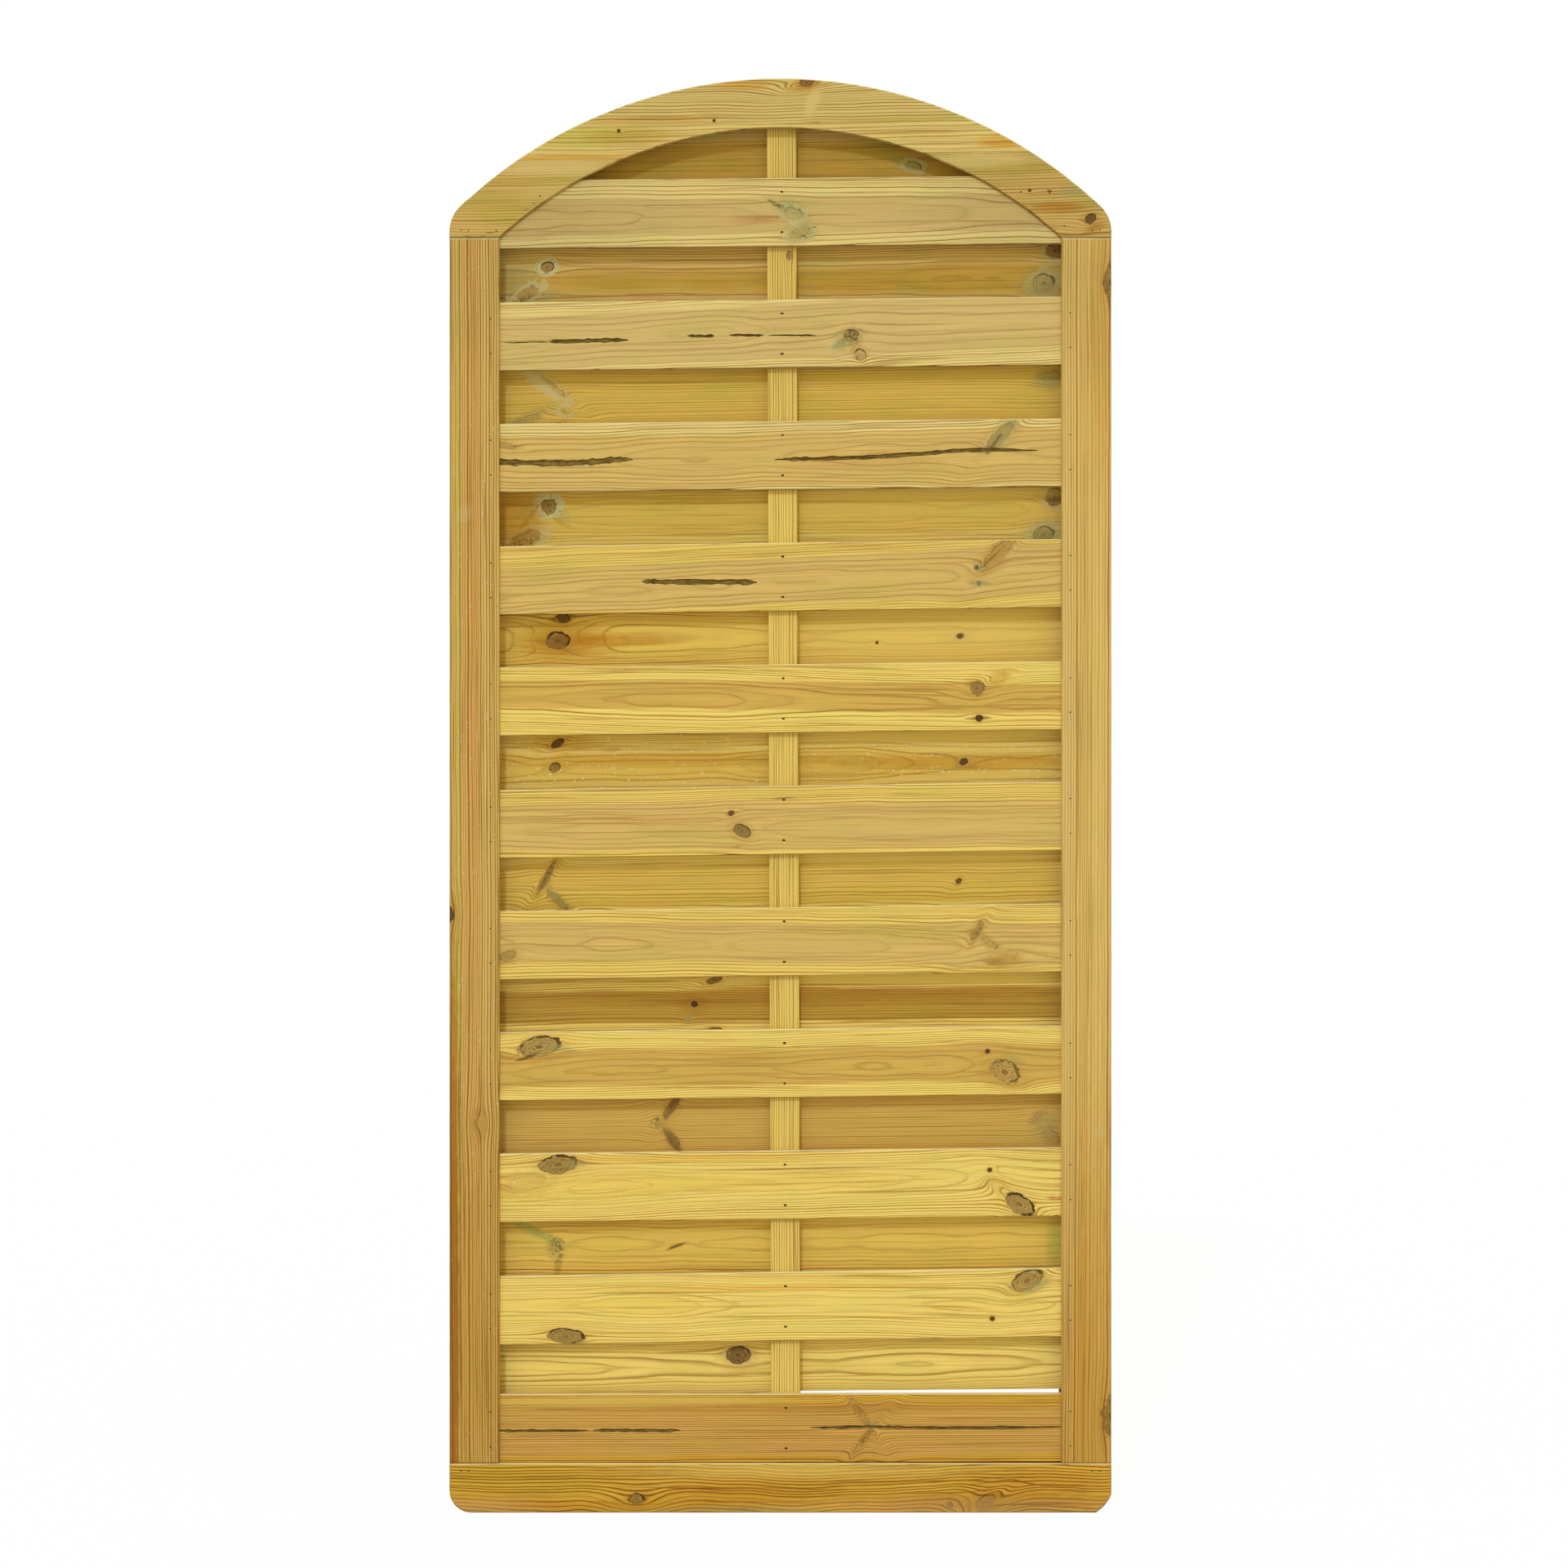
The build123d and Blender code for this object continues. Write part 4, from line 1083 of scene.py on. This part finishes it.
def dress(node_name, facts, middle, slope, slot, brads=()):
    """Make the seen board from its solid: splits, brad pits, worn arrises and its own timber."""
    sizes = bpy.context.scene.fence_sizes
    shades = bpy.context.scene.fence_colours
    low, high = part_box(node_name)
    made = to_object(solid_mesh(node_name), f"{node_name}_timber")
    made.data.materials.clear()
    made.data.materials.append(timber(node_name, facts, middle, slope))
    back = Matrix.Rotation(-slope, 3, "Y")
    for facts_of_split in facts["splits"]:
        spots = []
        for along, across in facts_of_split["points"]:
            spot = middle + back @ Vector((along * MM, 0, across * MM))
            spots.append((spot.x, spot.z))
        wedge = blade(spots, facts_of_split["width"] * MM, facts_of_split["depth"] * MM, low.y, 1)
        cut_away(made, wedge, raw_wood("Split wood", shades.split))
    for brads_node, face in brads:
        surface = low.y if face < 0 else high.y
        cutter = bmesh.new()
        for x, head, z in brad_heads(brads_node, face):
            if low.x < x < high.x and low.z < z < high.z and abs(head - surface) < NEAR_FACE:
                width = sizes.pit_width if slot == "slat_timber" else sizes.frame_pit_width
                pit(cutter, x, surface, z, -face, width, sizes.pit_depth)
        if cutter.verts:
            bmesh.ops.recalc_face_normals(cutter, faces=cutter.faces)
            cut_away(made, cutter, raw_wood("Brad pit wood", shades.pit))
        else:
            cutter.free()
    grain = back @ Vector((1, 0, 0))
    wear(made, grain, sizes.slice_length, sizes.arris_wear, facts["seed"])
    finish_shading(made)
    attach(made, "root")
    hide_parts(node_name)
    return made


UPRIGHT = math.radians(90)
LEVEL = 0.0
GLUE_LINE_SLOPE = math.radians(1.05)
FRONT, REAR = -1, 1


class FENCE_OT_arch(bpy.types.Operator):
    """Dress the boards of the arched top rail"""

    bl_idname = "fence.arch"
    bl_label = "Arch boards"

    def execute(self, context):
        for name in ("arch_crown_board", "arch_shoulder_board", "arch_left_foot", "arch_right_foot"):
            foot = Vector((0, 0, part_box(name)[0].z))
            brads = [("front_cheek_brads", FRONT), ("rear_cheek_brads", REAR), ("joint_brads", FRONT)]
            dress(name, FRAME_TIMBERS[name], foot, GLUE_LINE_SLOPE, "arch_timber", brads)
        return {"FINISHED"}


class FENCE_OT_stiles(bpy.types.Operator):
    """Dress the two stiles"""

    bl_idname = "fence.stiles"
    bl_label = "Stiles"

    def execute(self, context):
        for name in ("left_stile", "right_stile"):
            low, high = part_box(name)
            brads = [("front_cheek_brads", FRONT), ("rear_cheek_brads", REAR)]
            dress(name, FRAME_TIMBERS[name], (low + high) / 2, UPRIGHT, "frame_timber", brads)
        return {"FINISHED"}


class FENCE_OT_bottom_rail(bpy.types.Operator):
    """Dress the bottom rail"""

    bl_idname = "fence.bottom_rail"
    bl_label = "Bottom rail"

    def execute(self, context):
        low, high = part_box("bottom_rail")
        facts = FRAME_TIMBERS["bottom_rail"]
        dress("bottom_rail", facts, (low + high) / 2, LEVEL, "frame_timber", [("joint_brads", FRONT)])
        return {"FINISHED"}


class FENCE_OT_batten(bpy.types.Operator):
    """Dress the batten between the two layers of slats"""

    bl_idname = "fence.batten"
    bl_label = "Centre batten"

    def execute(self, context):
        low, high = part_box("centre_batten")
        dress("centre_batten", FRAME_TIMBERS["centre_batten"], (low + high) / 2, UPRIGHT, "batten_timber")
        return {"FINISHED"}


class FENCE_OT_front_slats(bpy.types.Operator):
    """Dress the slats of the front layer"""

    bl_idname = "fence.front_slats"
    bl_label = "Front slats"

    def execute(self, context):
        for row, facts in enumerate(FRONT_SLATS, start=1):
            name = f"front_slat_{row:02d}"
            dress(name, facts, *slat_line(name), "slat_timber", [("front_batten_brads", FRONT)])
        return {"FINISHED"}


class FENCE_OT_rear_slats(bpy.types.Operator):
    """Dress the slats of the rear layer"""

    bl_idname = "fence.rear_slats"
    bl_label = "Rear slats"

    def execute(self, context):
        for row, facts in enumerate(REAR_SLATS, start=1):
            name = f"rear_slat_{row:02d}"
            dress(name, facts, *slat_line(name), "slat_timber", [("rear_batten_brads", REAR)])
        return {"FINISHED"}


class FENCE_OT_brads(bpy.types.Operator):
    """Give the brads their steel"""

    bl_idname = "fence.brads"
    bl_label = "Brads"

    def execute(self, context):
        material = steel()
        for name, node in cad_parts.items():
            if name.endswith("_brads"):
                for slot in node.material_slots:
                    slot.material = material
        return {"FINISHED"}


SUN_DIRECTION = Vector((0.22, 1, -0.744))
SUN_SPREAD = math.radians(5)
GROUND_HALF_SIZE = 6
GROUND_GAP = 0.0002
GROUND_GLOW = 1.013
SHARE_OF_GLOW_SEEN = 0.93


class FENCE_OT_stage(bpy.types.Operator):
    """Set up the ground, the lamp, the sky and the camera"""

    bl_idname = "fence.stage"
    bl_label = "Stage"

    def execute(self, context):
        stage = context.scene.fence_stage
        scene = context.scene
        scene.view_settings.view_transform = "Standard"

        lens = bpy.data.cameras.new("Camera")
        lens.sensor_width = 36
        lens.lens = lens.sensor_width * stage.camera_distance / stage.picture_width
        lens.dof.use_dof = False
        camera = bpy.data.objects.new("Camera", lens)
        front = CAD_BOX[0].y
        camera.location = (stage.camera_side, front - stage.camera_distance, stage.camera_height)
        camera.rotation_euler = (UPRIGHT, 0, 0)
        scene.collection.objects.link(camera)
        scene.camera = camera

        lamp = bpy.data.lights.new("Lamp", "SUN")
        lamp.energy = stage.sun_strength
        lamp.angle = SUN_SPREAD
        lamp.color = as_light(stage.sun_colour)
        sun = bpy.data.objects.new("Lamp", lamp)
        sun.rotation_mode = "QUATERNION"
        sun.rotation_quaternion = SUN_DIRECTION.to_track_quat("-Z", "Y")
        scene.collection.objects.link(sun)

        world = bpy.data.worlds.new("Sky")
        world.use_nodes = True
        world.node_tree.nodes.clear()
        net = Net(world.node_tree)
        kinds = ("Camera", "Glossy", "Transmission")
        camera_ray, glossy, clear = (
            net.value("ShaderNodeLightPath", output=f"Is {kind} Ray") for kind in kinds
        )
        seen = camera_ray.most(glossy.most(clear))
        light = net.value(
            "ShaderNodeBackground", Color=net.blend(seen, as_light(stage.sky_colour), (1.0, 1.0, 1.0)),
            Strength=seen * (1.0 - stage.sky_strength) + stage.sky_strength,
        )
        net.node("ShaderNodeOutputWorld", Surface=light)
        scene.world = world

        bm = bmesh.new()
        bmesh.ops.create_grid(bm, x_segments=8, y_segments=8, size=GROUND_HALF_SIZE)
        ground = to_object(bm, "Ground")
        ground.location.z = CAD_BOX[0].z - GROUND_GAP
        material, net = new_material("Ground")
        is_seen = net.value("ShaderNodeLightPath", output="Is Camera Ray")
        grit = net.cloud(net.value("ShaderNodeTexCoord", output="Object"), scale=40.0, detail=3.0)
        tone = as_light(stage.floor_tone)
        skin = net.value(
            "ShaderNodeBsdfPrincipled",
            Base_Color=net.blend(grit, [c * 0.97 for c in tone], tone), Roughness=0.9,
        )
        white = net.value("ShaderNodeEmission", Color=(1.0, 1.0, 1.0), Strength=GROUND_GLOW)
        glow = net.node("ShaderNodeMixShader")
        for socket, value in zip(glow.inputs, (is_seen * SHARE_OF_GLOW_SEEN, skin, white)):
            net.feed(socket, value)
        net.node("ShaderNodeOutputMaterial", Surface=glow.outputs[0])
        ground.data.materials.append(material)
        ground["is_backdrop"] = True
        return {"FINISHED"}


STEPS = (
    FENCE_OT_stage, FENCE_OT_arch, FENCE_OT_stiles, FENCE_OT_bottom_rail, FENCE_OT_batten,
    FENCE_OT_front_slats, FENCE_OT_rear_slats, FENCE_OT_brads,
)


class FENCE_PT_panel(bpy.types.Panel):
    """Lists the fence panel's pieces, colours and sizes"""

    bl_idname = "FENCE_PT_panel"
    bl_label = "Fence Panel"
    bl_space_type = "VIEW_3D"
    bl_region_type = "UI"
    bl_category = "Fence"

    def draw(self, context):
        for step in STEPS:
            self.layout.operator(step.bl_idname)
        for group in (context.scene.fence_colours, context.scene.fence_sizes, context.scene.fence_stage):
            box = self.layout.box()
            for key in type(group).__annotations__:
                box.prop(group, key)


CLASSES = (FenceColours, FenceSizes, FenceStage, *STEPS, FENCE_PT_panel)


def register():
    """Make the classes and their settings known."""
    for known in CLASSES:
        bpy.utils.register_class(known)
    bpy.types.Scene.fence_colours = PointerProperty(type=FenceColours)
    bpy.types.Scene.fence_sizes = PointerProperty(type=FenceSizes)
    bpy.types.Scene.fence_stage = PointerProperty(type=FenceStage)


def unregister():
    """Forget the classes and their settings."""
    del bpy.types.Scene.fence_stage
    del bpy.types.Scene.fence_sizes
    del bpy.types.Scene.fence_colours
    for known in reversed(CLASSES):
        bpy.utils.unregister_class(known)


def main():
    """Dress the whole panel, and work out the sizes of the solids and of the dressed panel."""
    register()
    for step in STEPS:
        family, name = step.bl_idname.split(".")
        getattr(getattr(bpy.ops, family), name)()
    boxes = {"cad": [list(corner) for corner in CAD_BOX], "visual": [list(corner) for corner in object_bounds()]}


if __name__ == "__main__":
    main()
